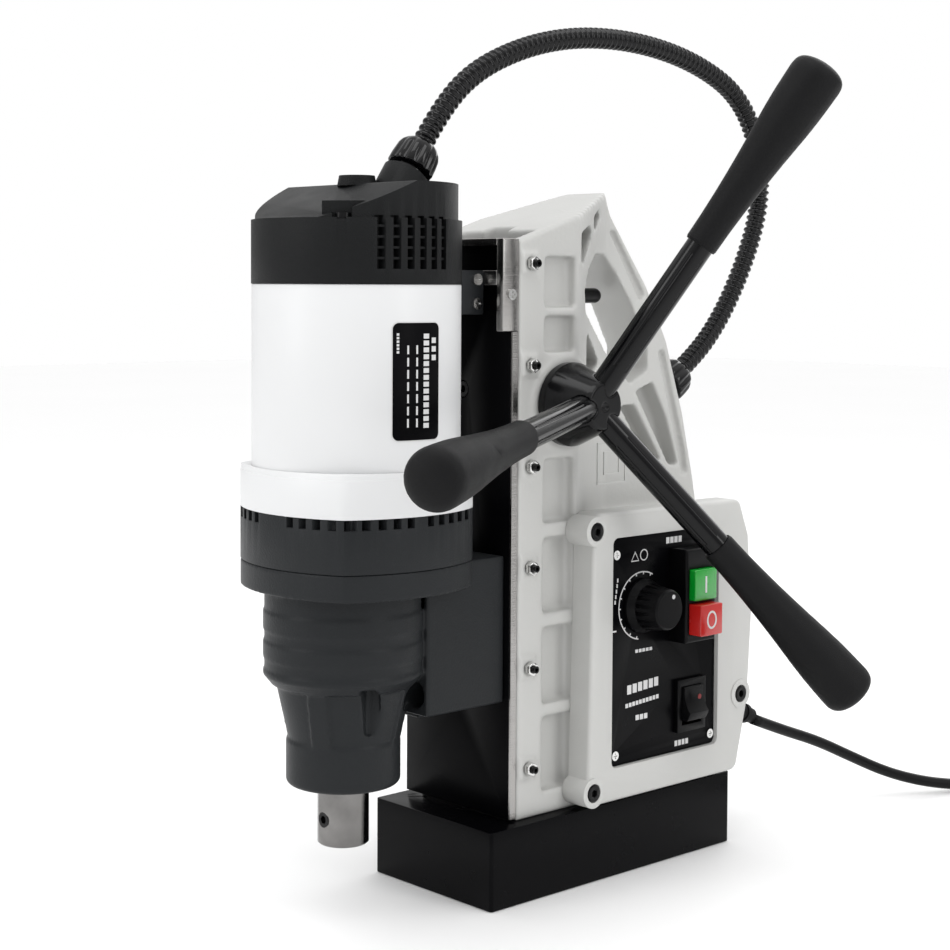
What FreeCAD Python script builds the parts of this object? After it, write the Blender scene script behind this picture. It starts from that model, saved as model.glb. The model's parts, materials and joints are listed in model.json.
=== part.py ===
import FreeCAD, Part
import Sketcher
import math
import os

# Magnetic drill press. Millimetres, +Z up, -Y towards the motor and spindle, +X towards
# the control panel. The origin is the centre of the magnet's working face, at z = 0.

os.makedirs("parts", exist_ok=True)
doc = FreeCAD.newDocument("magnetic_drill_press")
V = FreeCAD.Vector

# ---------------------------------------------------------------- driving sizes
SIZES = {
    # magnet base
    "magnet_length": 200.0, "magnet_width": 96.4, "magnet_height": 43.0,
    "coil_groove_width": 16.0, "magnet_wall": 12.0, "coil_groove_depth": 33.0,
    # frame casting
    "casting_half_width": 40.0, "casting_front": 73.5, "casting_top": 362.5,
    "casting_rear": 100.0, "housing_top": 205.0, "handle_half_width": 17.0,
    "apex_behind": 20.0, "apex_top": 392.5,
    # slide and its guide
    "slide_bottom": 57.0, "slide_length": 303.0, "slide_plate": 4.6,
    "slide_front": 78.5, "slide_right": 38.5, "slide_left": 46.0,
    "tongue_half_width": 27.0, "tongue_rear": 54.0, "guide_gap": 0.4,
    "gib_thickness": 4.5, "edge_strip": 1.5,
    # feed: rack, pinion, hub
    "feed_axis_behind": -37.0, "feed_axis_height": 272.0, "feed_module": 2.0,
    "feed_teeth": 14.0, "rack_width": 15.0, "rack_length": 196.0, "rack_low": 94.0,
    "pinion_shaft_radius": 8.0, "bush_wall": 3.0, "hub_base_radius": 23.5,
    "hub_face_radius": 12.6, "hub_length": 29.0, "arm_tilt": 24.7,
    "arm_reach": 224.0, "arm_radius": 7.7, "grip_length": 118.0,
    "grip_end_radius": 15.2, "arm_phase": 66.0,
    # motor and gearbox
    "motor_axis_ahead": 155.0, "spindle_axis_ahead": 163.5, "can_radius": 55.5,
    "side_bulge": 83.0,
    "can_wall": 3.0, "can_bottom": 220.0, "cap_bottom": 338.3, "cap_top": 391.0,
    "ring_top": 243.0, "gearbox_bottom": 96.5,
    "collar_radius": 30.5, "collar_bottom": 73.5, "spindle_radius": 13.75,
    "spindle_bottom": 41.0, "shank_radius": 9.525,
    "armature_radius": 29.0, "shaft_radius": 5.0, "running_gap": 0.05,
    # gear train
    "armature_teeth": 10.0, "counter_teeth": 38.0, "first_module": 1.0,
    "layshaft_teeth": 12.0, "spindle_teeth": 32.0, "second_module": 1.25,
    "gear_width": 9.0,
    # control box
    "cover_face": 56.0, "panel_thickness": 1.5,
    "panel_recess": 2.5, "knob_radius": 13.0, "knob_height": 21.0,
    # conduit and mains lead
    "conduit_radius": 6.2, "lead_radius": 3.5,
}
sheet = doc.addObject("Spreadsheet::Sheet", "Sizes")
for row, (name, value) in enumerate(SIZES.items(), start=1):
    sheet.set(f"A{row}", name)
    sheet.set(f"B{row}", str(value))
    sheet.setAlias(f"B{row}", name)
doc.recompute()


def size(name):
    """A driving size read back from the sheet."""
    return float(getattr(sheet, name))


def bound(text):
    """An expression on the sheet: bare words become cells of it."""
    words = str(text).replace("(", " ( ").replace(")", " ) ").split()
    return " ".join(f"Sizes.{w}" if w in SIZES else w for w in words)


def value_of(text):
    """The number that an expression on the sheet gives now."""
    words = str(text).replace("(", " ( ").replace(")", " ) ").split()
    total = " ".join(repr(size(w)) if w in SIZES else w for w in words)
    return float(sheet.evalExpression(total))


def bind(thing, **sizes):
    """Ties properties of an object to expressions on the sheet."""
    for path, text in sizes.items():
        thing.setExpression(path.replace("__", "."), bound(text))


def place(thing, x, y, z, axis=None, angle=0.0):
    """Puts an object at a bound position, turned about an axis."""
    if axis is not None:
        turn = FreeCAD.Rotation(V(*axis), angle)
        thing.Placement = FreeCAD.Placement(V(0, 0, 0), turn)
    bind(thing, Placement__Base__x=x, Placement__Base__y=y, Placement__Base__z=z)
    return thing


# ---------------------------------------------------------------- makers of solids
counter = 0


def fresh(kind, stem):
    global counter
    counter += 1
    return doc.addObject(kind, f"{stem}_{counter}")


def box(x, y, z, length, width, height):
    """A block from its low corner; every argument is an expression."""
    solid = fresh("Part::Box", "block")
    bind(solid, Length=length, Width=width, Height=height)
    return place(solid, x, y, z)


TURNS = {"+Z": ((0, 0, 1), 0), "-Z": ((1, 0, 0), 180), "+X": ((0, 1, 0), 90),
         "-X": ((0, 1, 0), -90), "+Y": ((1, 0, 0), -90), "-Y": ((1, 0, 0), 90)}


def rod(x, y, z, radius, length, towards="+Z"):
    """A cylinder from the centre of its first end."""
    solid = fresh("Part::Cylinder", "rod")
    bind(solid, Radius=radius, Height=length)
    return place(solid, x, y, z, *TURNS[towards])


def tube(x, y, z, radius, bore, length, towards="+Z"):
    return cut(rod(x, y, z, radius, length, towards), rod(x, y, z, bore, length, towards))


def taper(x, y, z, radius, end_radius, length, towards="+Z"):
    solid = fresh("Part::Cone", "taper")
    bind(solid, Radius1=radius, Radius2=end_radius, Height=length)
    return place(solid, x, y, z, *TURNS[towards])


def hexagon(x, y, z, across_flats, length, towards="+Z"):
    solid = fresh("Part::Prism", "hexagon")
    solid.Polygon = 6
    bind(solid, Circumradius=f"( {across_flats} ) / 1.7320508", Height=length)
    return place(solid, x, y, z, *TURNS[towards])


def fuse(*solids):
    if len(solids) == 1:
        return solids[0]
    joined = fresh("Part::MultiFuse", "fuse")
    joined.Shapes = list(solids)
    joined.Refine = True
    return joined


def cut(base, *tools):
    removed = fresh("Part::Cut", "cut")
    removed.Base = base
    removed.Tool = fuse(*tools)
    removed.Refine = True
    return removed


def common(first, second):
    both = fresh("Part::Common", "common")
    both.Base = first
    both.Tool = second
    return both


def turned(solid, axis, angle, about=(0, 0, 0)):
    """A copy of a solid turned about an axis through a point."""
    doc.recompute()
    shape = solid.Shape.copy()
    shape.rotate(V(*about), V(*axis), angle)
    return raw(shape)


def mirrored(solid, normal=(1, 0, 0)):
    copy = fresh("Part::Mirroring", "mirrored")
    copy.Source = solid
    copy.Base = V(0, 0, 0)
    copy.Normal = V(*normal)
    return copy


def raw(shape):
    solid = fresh("Part::Feature", "shape")
    solid.Shape = shape
    return solid


PLANES = {"XY": "XY_Plane", "XZ": "XZ_Plane", "YZ": "YZ_Plane"}


def sketch_on(body, plane, offset="0"):
    """An empty sketch on one of the body's own origin planes."""
    sketch = body.newObject("Sketcher::SketchObject", f"sketch_of_{body.Name}")
    role = PLANES[plane]
    origin_plane = [p for p in body.Origin.OriginFeatures if p.Role == role][0]
    sketch.AttachmentSupport = [(origin_plane, "")]
    sketch.MapMode = "FlatFace"
    sketch.setExpression("AttachmentOffset.Base.z", bound(offset))
    return sketch


def polygon(sketch, points):
    """A closed outline whose corners are bound to expressions."""
    corners = [V(value_of(u), value_of(v), 0) for u, v in points]
    count = len(corners)
    for i in range(count):
        sketch.addGeometry(Part.LineSegment(corners[i], corners[(i + 1) % count]), False)
    for i in range(count):
        sketch.addConstraint(Sketcher.Constraint("Coincident", i, 2, (i + 1) % count, 1))
    for i, (u, v) in enumerate(points):
        for kind, text, now in (("DistanceX", u, corners[i].x), ("DistanceY", v, corners[i].y)):
            number = sketch.addConstraint(Sketcher.Constraint(kind, -1, 1, i, 1, now))
            if any(word in SIZES for word in str(text).replace("(", " ").split()):
                sketch.setExpression(f"Constraints[{number}]", bound(text))


def prism(plane, points, start, length):
    """A PartDesign body: an outline padded along its plane's normal."""
    body = fresh("PartDesign::Body", "body")
    sketch = sketch_on(body, plane, start)
    polygon(sketch, points)
    pad = body.newObject("PartDesign::Pad", f"pad_of_{body.Name}")
    pad.Profile = sketch
    bind(pad, Length=length)
    body.Tip = pad
    return body


def lathe(points, x, y, z, towards="+Z"):
    """A PartDesign body turned from (radius, height) corners about its own Z axis."""
    body = fresh("PartDesign::Body", "body")
    sketch = sketch_on(body, "XZ")
    polygon(sketch, points)
    turn = body.newObject("PartDesign::Revolution", f"turn_of_{body.Name}")
    turn.Profile = sketch
    turn.ReferenceAxis = (sketch, ["V_Axis"])
    turn.Angle = 360
    body.Tip = turn
    return place(body, x, y, z, *TURNS[towards])


def rounded(solid, radius, wanted):
    """Fillets the edges that a test picks out of a finished solid."""
    doc.recompute()
    edges = [(i, radius, radius) for i, edge in enumerate(solid.Shape.Edges, start=1)
             if wanted(edge)]
    fillet = fresh("Part::Fillet", "rounded")
    fillet.Base = solid
    fillet.Edges = edges
    return fillet


def along(axis):
    """Test for straight edges that run along an axis."""
    direction = V(*axis)

    def test(edge):
        if not isinstance(edge.Curve, Part.Line):
            return False
        return abs(edge.Curve.Direction.dot(direction)) > 0.999
    return test


nodes = {}


def node(name, *solids):
    """Names a finished sub-part; several solids stay separate in one node."""
    if len(solids) == 1:
        piece = solids[0]
    else:
        piece = fresh("Part::Compound", "group")
        piece.Links = list(solids)
    piece.Label = name
    nodes[name] = piece
    return piece


def gear_shape(module, teeth, width, bore, gap_share=0.58, shift=0.0):
    """A spur gear about Z from z = 0, with straight-flanked teeth and easy backlash."""
    pitch_radius = module * teeth / 2.0
    root = pitch_radius - 1.2 * module
    tip = pitch_radius + 0.95 * module
    step = 2.0 * math.pi / teeth
    tooth = step * (1.0 - gap_share)
    corners = []
    for i in range(int(teeth)):
        middle = i * step + shift
        for radius, half in ((root, tooth * 0.75), (tip, tooth * 0.28)):
            corners.append(V(radius * math.cos(middle - half), radius * math.sin(middle - half), 0))
        for radius, half in ((tip, tooth * 0.28), (root, tooth * 0.75)):
            corners.append(V(radius * math.cos(middle + half), radius * math.sin(middle + half), 0))
    corners.append(corners[0])
    wheel = Part.Face(Part.makePolygon(corners)).extrude(V(0, 0, width))
    if bore > 0:
        wheel = wheel.cut(Part.makeCylinder(bore, width))
    return wheel


# ---------------------------------------------------------------- magnet base
GROOVE_HALF = "magnet_width / 2 - magnet_wall"
GROOVE_END = "magnet_length / 2 - magnet_wall"


def make_magnet():
    """A steel block whose ring groove holds the coil and its potting."""
    block = box("0 - magnet_width / 2", "0 - magnet_length / 2", "0",
                "magnet_width", "magnet_length", "magnet_height")
    block = rounded(block, 2.0, along((0, 0, 1)))

    def ring(low, high, side_gap):
        outer = box(f"0 - ( {GROOVE_HALF} ) + {side_gap}", f"0 - ( {GROOVE_END} ) + {side_gap}",
                    low, f"2 * ( {GROOVE_HALF} - {side_gap} )",
                    f"2 * ( {GROOVE_END} - {side_gap} )", f"{high} - {low}")
        inner_x = f"( {GROOVE_HALF} ) - coil_groove_width + {side_gap}"
        inner_y = f"( {GROOVE_END} ) - coil_groove_width + {side_gap}"
        inner = box(f"0 - ( {inner_x} )", f"0 - ( {inner_y} )", low,
                    f"2 * ( {inner_x} )", f"2 * ( {inner_y} )", f"{high} - {low}")
        return cut(outer, inner)

    block = cut(block, ring("0", "coil_groove_depth", "0"))
    node("magnet_housing", cut(block, *base_bolt_holes()))
    node("magnet_coil", ring("8", "coil_groove_depth - 1", "1"))
    node("magnet_potting", ring("0.3", "7.9", "0.1"))


BOLT_PLACES = (("0 - 12", "0 - 25"), ("12", "0 - 25"), ("0 - 12", "52"), ("12", "52"))


def base_bolt_holes():
    """Counterbored ways for the bolts that hold the casting on the magnet."""
    holes = []
    for x, y in BOLT_PLACES:
        holes.append(rod(x, y, "0", "7.2", "9.2"))
        holes.append(rod(x, y, "9", "4.25", "magnet_height"))
    return holes


def make_base_bolts():
    bolts = []
    for x, y in BOLT_PLACES:
        head = cut(rod(x, y, "1", "6.5", "8"), hexagon(x, y, "1", "6", "4.5"))
        bolts.append(fuse(head, rod(x, y, "8.5", "4", "magnet_height")))
    node("base_bolts", *bolts)


# ---------------------------------------------------------------- frame casting
FRONT = "0 - casting_front"
# (y, z) corners of the rear leg's outline, from the apex down to the housing
REAR_OUTLINE = (("apex_behind + 5", "apex_top - 13"), ("57", "338"), ("75.5", "305"),
                ("91", "261"), ("101", "222"), ("104", "housing_top - 8"))
HAND_OPENING = (("0 - 14", "323"), ("0 - 15.5", "335"), ("0 - 10", "347"), ("2", "356"),
                ("18", "356"), ("28", "346"), ("42", "328"), ("57", "301"), ("57", "287"),
                ("42", "280"), ("17", "302"))
WEB_POCKETS = ((("0 - 12", "312"), ("10", "293"), ("0 - 12", "283")),
               (("33", "267"), ("46", "267"), ("70", "233"), ("62", "228")),
               (("47", "275"), ("62", "280"), ("75", "258"), ("86", "228"), ("77", "230")))
LEG_SLOTS = ((("22", "371"), ("27", "371"), ("55", "332"), ("50", "329")),
             (("67", "298"), ("72", "300"), ("92", "238"), ("95", "222"), ("90", "222")))
SIDE_WINDOWS = ((("0 - 22", "347"), ("0 - 6", "365"), ("0 - 6", "373"), ("0 - 22", "367")),
                (("0 - 1", "367"), ("9", "378"), ("9", "383"), ("0 - 1", "377")))
CHANNEL_PANELS = (("56", "42"), ("105", "43"), ("156", "42"), ("206", "36"),
                  ("301", "20"), ("326", "28"))
GIB_SCREW_HEIGHTS = [f"{71.5 + 55.7 * i:.1f}" for i in range(6)]
GIB_SCREW_AHEAD = "0 - 65.5"


def across(points, half):
    """An outline in the Y-Z plane, carried across the casting's width."""
    return prism("YZ", points, f"0 - ( {half} )", f"2 * ( {half} )")


def both_sides(points, start, depth):
    """Two equal pockets cut in from the right and left sides."""
    right = prism("YZ", points, start, depth)
    return [right, mirrored(right)]


def make_casting():
    upper = (((FRONT, "housing_top - 5"), (FRONT, "casting_top"), ("apex_behind", "apex_top"))
             + REAR_OUTLINE[:-1] + (("104", "housing_top - 5"),))
    half, narrow = "casting_half_width", "handle_half_width"
    plan = ((f"0 - {half}", FRONT), (half, FRONT), (half, "0 - 27"), (narrow, "apex_behind"),
            (narrow, "110"), (f"0 - {narrow}", "110"), (f"0 - {narrow}", "apex_behind"),
            (f"0 - {half}", "0 - 27"))
    top = common(across(upper, half), prism("XY", plan, "housing_top - 6", "200"))
    top = rounded(top, 3.0, is_outer_rear_edge)
    housing = box(f"0 - {half}", FRONT, "magnet_height", f"2 * {half}",
                  "casting_rear + casting_front", "housing_top - magnet_height")
    boss = rod("36", "feed_axis_behind", "feed_axis_height", "hub_base_radius + 3", "5", "+X")
    stub = rod("0 - 41", "feed_axis_behind", "feed_axis_height", "17", "5", "+X")
    body = fuse(top, housing, boss, stub, *gib_screw_pads())

    cuts = [across(HAND_OPENING, "60")]
    for points in WEB_POCKETS:
        cuts += both_sides(points, "5", "40")
    for points in LEG_SLOTS:
        cuts += both_sides(points, f"{narrow} - 4", "20")
    for points in SIDE_WINDOWS:
        cuts += both_sides(points, "12", "40")
    for low, tall in CHANNEL_PANELS:
        panel = box(f"{half} - 7", "0 - 53.2", low, "12", "24", tall)
        cuts += [panel, mirrored(panel)]
    cuts.append(guide_channel())
    cuts += feed_cavity()
    cuts += gib_screw_ways("2.6")
    cuts.append(electrics_cavity())
    cuts += [rod(x, y, "magnet_height - 1", "4", "22") for x, y in BOLT_PLACES]
    cuts.append(stop_pin_way())
    cuts.append(leg_gland_way())
    node("frame_casting", cut(body, *cuts))


def is_outer_rear_edge(edge):
    """The long edges along the sloped top and the rear leg."""
    if not isinstance(edge.Curve, Part.Line):
        return False
    box_of = edge.BoundBox
    on_side = abs(abs(box_of.XMin) - size("handle_half_width")) < 0.1 and box_of.XLength < 0.1
    return on_side and box_of.YMin > size("apex_behind") - 0.1 and box_of.ZMin > 210


def guide_channel():
    """The open channel in which the slide's tongue and the gib run."""
    depth = "casting_front - tongue_rear + guide_gap"
    left = "0 - tongue_half_width - guide_gap"
    width = "2 * tongue_half_width + 2 * guide_gap + gib_thickness + 0.2"
    return box(left, f"{FRONT} - 1", "magnet_height + 12", width, f"{depth} + 1", "400")


def feed_cavity():
    """Room behind the channel for the rack and the pinion, and the shaft's bore."""
    y, z = "feed_axis_behind", "feed_axis_height"
    rack_room = box("0 - rack_width / 2 - 2", "0 - 55", "magnet_height + 12",
                    "rack_width + 4", "8", "400")
    pinion_room = rod("0 - rack_width / 2 - 2", y, z, "18", "rack_width + 4", "+X")
    bore = rod("0 - 50", y, z, "pinion_shaft_radius + bush_wall", "100", "+X")
    return [rack_room, pinion_room, bore]


def gib_screw_ways(radius):
    return [rod("20", GIB_SCREW_AHEAD, z, radius, "30", "+X") for z in GIB_SCREW_HEIGHTS]


def electrics_cavity():
    """The hollow behind the control panel, open on the right."""
    hollow = box("0 - 34", "0 - 22", "magnet_height + 20", "90", "117", "134")
    return hollow


def stop_pin_way():
    return rod("0", "0 - 21.1", "332", "4.5", "22", "+Y")


LEG_GLAND = ("0", "89", "275")
LEG_GLAND_TILT = 60.0


def leaning(solid, tilt, x, y, z):
    """Turns a solid made upright at the origin forward over -X, then puts it in place."""
    solid.Placement = FreeCAD.Placement(V(0, 0, 0), FreeCAD.Rotation(V(1, 0, 0), -tilt))
    bind(solid, Placement__Base__x=x, Placement__Base__y=y, Placement__Base__z=z)
    return solid


def upright(radius, length):
    solid = fresh("Part::Cylinder", "rod")
    bind(solid, Radius=radius, Height=length)
    return solid


def leg_gland_way():
    """A blind hole in the back of the leg for the conduit's lower gland."""
    return leaning(upright("7.1", "22"), LEG_GLAND_TILT, "0", "75.14", "267")


def make_gib():
    x = "tongue_half_width + guide_gap"
    strip = box(x, "0 - casting_front + 1", "magnet_height + 14", "gib_thickness", "18", "300")
    dimples = [rod(f"{x} + gib_thickness - 1", GIB_SCREW_AHEAD, z, "2.1", "2", "+X")
               for z in GIB_SCREW_HEIGHTS]
    node("gib_strip", cut(strip, *dimples))
    screws, nuts = [], []
    outer = "casting_half_width"
    for z in GIB_SCREW_HEIGHTS:
        y = GIB_SCREW_AHEAD
        tip = f"{x} + gib_thickness - 0.9"
        stem = rod(tip, y, z, "2", f"{outer} + 7.2 - ( {tip} )", "+X")
        socket = hexagon(f"{outer} + 5", y, z, "2.2", "4", "+X")
        screws.append(cut(stem, socket))
        nut = hexagon(f"{outer} + 1.6", y, z, "7", "3.4", "+X")
        nuts.append(cut(nut, rod(outer, y, z, "2.05", "9", "+X")))
    node("gib_set_screws", *screws)
    node("gib_lock_nuts", *nuts)


def gib_screw_pads():
    """Small raised pads on the right side, one under each lock nut."""
    pads = []
    for z in GIB_SCREW_HEIGHTS:
        pad = box("casting_half_width - 0.5", "0 - 71.5", f"{z} - 5.5", "2", "11.5", "11")
        slot = box("casting_half_width - 0.6", "0 - 70.3", f"{z} - 4.2", "3", "2", "8.4")
        pads.append(cut(pad, slot))
    return pads


def make_stop_pin():
    y, z = "0 - 21", "332"
    pin = fuse(rod("0", y, z, "4.5", "21", "+Y"), rod("0", "0", z, "4.5", "27.5", "+Y"))
    tip = fresh("Part::Sphere", "tip")
    bind(tip, Radius="4.5")
    place(tip, "0", "27.5", z)
    node("stop_pin", fuse(pin, tip))


# ---------------------------------------------------------------- slide and feed
SLIDE_Y = "0 - slide_front"


def make_slide():
    """The slide's front plate with the tongue that runs in the guide."""
    low = "magnet_height + 1.5"
    tall = "slide_bottom + slide_length - magnet_height - 1.5"
    plate = box("0 - slide_left", SLIDE_Y, low, "slide_left + slide_right", "slide_plate", tall)
    edge = box("slide_right", f"{SLIDE_Y} + 0.5", low, "edge_strip", "slide_plate - 0.8",
               f"{tall} - 47")
    tongue = box("0 - tongue_half_width", f"{SLIDE_Y} + slide_plate - 1", "slide_bottom",
                 "2 * tongue_half_width", "slide_front - slide_plate - tongue_rear + 1",
                 "slide_length")
    groove = box("0 - rack_width / 2 - 0.1", "0 - tongue_rear - 8", "rack_low - 0.2",
                 "rack_width + 0.2", "9", "rack_length + 0.4")
    holes = [rod("0", f"{SLIDE_Y} - 1", z, "2.6", "30", "+Y") for z in RACK_SCREW_HEIGHTS]
    counters = [rod("0", f"{SLIDE_Y} - 1", z, "5.2", "6.6", "+Y") for z in RACK_SCREW_HEIGHTS]
    node("slide_plate", cut(fuse(plate, edge, tongue), groove, *holes, *counters))


RACK_SCREW_HEIGHTS = ("104", "280")


def make_rack():
    """A straight rack whose tooth spaces lie in mesh with the pinion."""
    module = size("feed_module")
    pitch = math.pi * module
    pitch_line = size("feed_axis_behind") - module * size("feed_teeth") / 2.0
    low, tall = size("rack_low"), size("rack_length")
    back = -size("tongue_rear") - 7.9
    root, tip = pitch_line - 1.25 * module, pitch_line + 0.9 * module
    outline = [V(0, back, low), V(0, root, low)]
    first = math.ceil((low + 3 - size("feed_axis_height")) / pitch)
    last = math.floor((low + tall - 3 - size("feed_axis_height")) / pitch)
    for k in range(first, last + 1):
        middle = size("feed_axis_height") + k * pitch
        wide, slim = pitch * 0.33, pitch * 0.11
        outline += [V(0, root, middle - wide), V(0, tip, middle - slim),
                    V(0, tip, middle + slim), V(0, root, middle + wide)]
    outline += [V(0, root, low + tall), V(0, back, low + tall), V(0, back, low)]
    width = size("rack_width")
    bar = Part.Face(Part.makePolygon(outline)).extrude(V(width, 0, 0))
    bar.translate(V(-width / 2.0, 0, 0))
    holes = [rod("0", "0 - 70", z, "2.6", "14", "+Y") for z in RACK_SCREW_HEIGHTS]
    node("rack", cut(raw(bar), *holes))
    screws = []
    for z in RACK_SCREW_HEIGHTS:
        head = cut(rod("0", f"{SLIDE_Y} + 0.4", z, "4.25", "5", "+Y"),
                   hexagon("0", f"{SLIDE_Y} + 0.4", z, "4", "2.5", "+Y"))
        screws.append(fuse(head, rod("0", f"{SLIDE_Y} + 5", z, "2.5", "16", "+Y")))
    node("rack_screws", *screws)


def make_feed():
    """Pinion shaft, bushes, hub, arms and grips."""
    y, z = "feed_axis_behind", "feed_axis_height"
    module, teeth = size("feed_module"), size("feed_teeth")
    half_width = size("rack_width") / 2.0
    # half a step of turn leaves a tooth space facing the rack's middle tooth
    facing_rack = -math.pi / 2 + math.pi / teeth
    wheel = gear_shape(module, teeth, 2 * half_width, 0, 0.56, facing_rack)
    wheel.rotate(V(0, 0, 0), V(0, 1, 0), 90)
    wheel.translate(V(-half_width, size(y), size(z)))
    shaft = rod("0 - 44", y, z, "pinion_shaft_radius", "96", "+X")
    flange = rod("0 - 43.6", y, z, "pinion_shaft_radius + 3", "2.4", "+X")
    node("pinion_shaft", fuse(shaft, flange, raw(wheel)))
    bore = "pinion_shaft_radius + running_gap"
    outer = "pinion_shaft_radius + bush_wall"
    node("shaft_bushes", tube("10", y, z, outer, bore, "30", "+X"),
         tube("0 - 40.8", y, z, outer, bore, "30", "+X"))
    make_hub(y, z)


HUB_START = "casting_half_width + 1.5"


def arm_frame(index):
    """Placement that points +Z out along one arm from the hub's centre."""
    tilt = math.radians(size("arm_tilt"))
    turn = math.radians(size("arm_phase") + 120.0 * index)
    direction = V(math.sin(tilt), math.cos(tilt) * math.cos(turn), math.cos(tilt) * math.sin(turn))
    centre = V(58.8, size("feed_axis_behind"), size("feed_axis_height"))
    return FreeCAD.Placement(centre, FreeCAD.Rotation(V(0, 0, 1), direction))


# the arms screw into the hub from this far off its axis
ARMS, ARM_SEAT = 3, 9


def make_hub(y, z):
    """A tapered hub with a socket for each screwed-in arm."""
    flare = (("0", "0"), ("hub_base_radius", "0"), ("hub_base_radius", "5"),
             ("hub_face_radius + 1.5", "hub_length - 2"), ("hub_face_radius", "hub_length"),
             ("0", "hub_length"))
    hub = lathe(flare, HUB_START, y, z, "+X")
    doc.recompute()
    tools = [rod("40", y, z, "pinion_shaft_radius", "12", "+X"),
             rod(f"{HUB_START} + hub_length - 1.2", y, z, "2.2", "3", "+X")]
    for index in range(ARMS):
        socket = Part.makeCylinder(size("arm_radius") + 0.02, 60, V(0, 0, ARM_SEAT))
        socket.Placement = arm_frame(index)
        tools.append(raw(socket))
    node("hub", cut(hub, *tools))
    arms, grips = [], []
    for index in range(ARMS):
        arm, grip = arm_and_grip(index)
        arms.append(arm)
        grips.append(grip)
    node("feed_arms", *arms)
    node("hand_grips", *grips)


def arm_and_grip(index):
    """One fluted steel arm and the rubber grip pushed over its end."""
    radius, reach = size("arm_radius"), size("arm_reach")
    start = reach - size("grip_length")
    shaft = Part.makeCylinder(radius, start + 70 - ARM_SEAT, V(0, 0, ARM_SEAT))
    flutes = []
    for k in range(6):
        angle = math.radians(60 * k)
        centre = V(math.cos(angle) * (radius + 0.9), math.sin(angle) * (radius + 0.9), 26)
        flutes.append(Part.makeCylinder(1.3, start - 32, centre))
    for flute in flutes:
        shaft = shaft.cut(flute)
    big = size("grip_end_radius")
    profile = [V(0, 0, start), V(radius + 1.0, 0, start), V(radius + 1.5, 0, start + 1.5),
               V(radius + 2.2, 0, start + 28), V(big - 2.9, 0, reach - 56),
               V(big - 0.4, 0, reach - 26)]
    nose = [V(big, 0, reach - 13), V(big * 0.9, 0, reach - 4), V(big * 0.55, 0, reach - 0.9),
            V(2, 0, reach)]
    start_edges = Part.makePolygon(profile[:3]).Edges
    swell = Part.BSplineCurve()
    swell.interpolate(profile[2:] + nose)
    closing = Part.makePolygon([nose[-1], V(0, 0, reach), V(0, 0, start)]).Edges
    wire = Part.Wire(start_edges + [swell.toShape()] + closing)
    grip = Part.Face(wire).revolve(V(0, 0, 0), V(0, 0, 1), 360)
    grip = grip.cut(Part.makeCylinder(radius, start + 70 - 9, V(0, 0, 9)))
    pieces = []
    for shape in (shaft, grip):
        shape.Placement = arm_frame(index)
        pieces.append(raw(shape))
    return pieces


# ---------------------------------------------------------------- motor
MOTOR_Y = "0 - motor_axis_ahead"
SPINDLE_Y = "0 - spindle_axis_ahead"


def bulged_square(y, low, half_side, height):
    """A block with four bulging sides that meet at blunt corners, centred on X = 0."""
    off = f"side_bulge - ( {half_side} )"
    centres = ((off, y), (f"0 - ( {off} )", y), ("0", f"{y} + {off}"), ("0", f"{y} - ( {off} )"))
    discs = [rod(x, at_y, low, "side_bulge", height) for x, at_y in centres]
    return common(common(discs[0], discs[1]), common(discs[2], discs[3]))


def make_motor_case():
    inner = "can_radius - can_wall"
    node("motor_can", tube("0", MOTOR_Y, "ring_top - 3", "can_radius", inner,
                           "cap_bottom - ring_top + 3"))
    ring = bulged_square(MOTOR_Y, "can_bottom", "can_radius + 1", "ring_top - can_bottom - 3.1")
    upper = bulged_square(MOTOR_Y, "ring_top - 3.1", "can_radius + 0.6", "3")
    hole = rod("0", MOTOR_Y, "can_bottom - 1", f"{inner} - 2", "40")
    seat = rod("0", MOTOR_Y, "ring_top - 3.1", "can_radius + 0.05", "20")
    node("motor_ring", cut(fuse(ring, upper), hole, seat))
    label = tube("0", MOTOR_Y, "258.5", "can_radius + 0.6", "can_radius + 0.02", "61")
    window = prism("XY", (("0", MOTOR_Y), ("60", f"{MOTOR_Y} - 23"), ("60", f"{MOTOR_Y} + 10.5"),),
                   "250", "90")
    node("rating_plate", common(label, window))


VENT_AHEAD = [f"{MOTOR_Y} - {27.0 - 7.6 * i:.1f}" for i in range(6)]
VENT_LOW, VENT_TALL = "346", "27"


def above_slope(lower):
    """What lies above the top's fall towards the front, lowered by a wall's depth."""
    fall = ((60, 366), (40, 375), (4, 391.2), (4, 420), (60, 420))
    return across([(f"{MOTOR_Y} - {ahead}", f"{z} - {lower}") for ahead, z in fall], "70")


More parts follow.
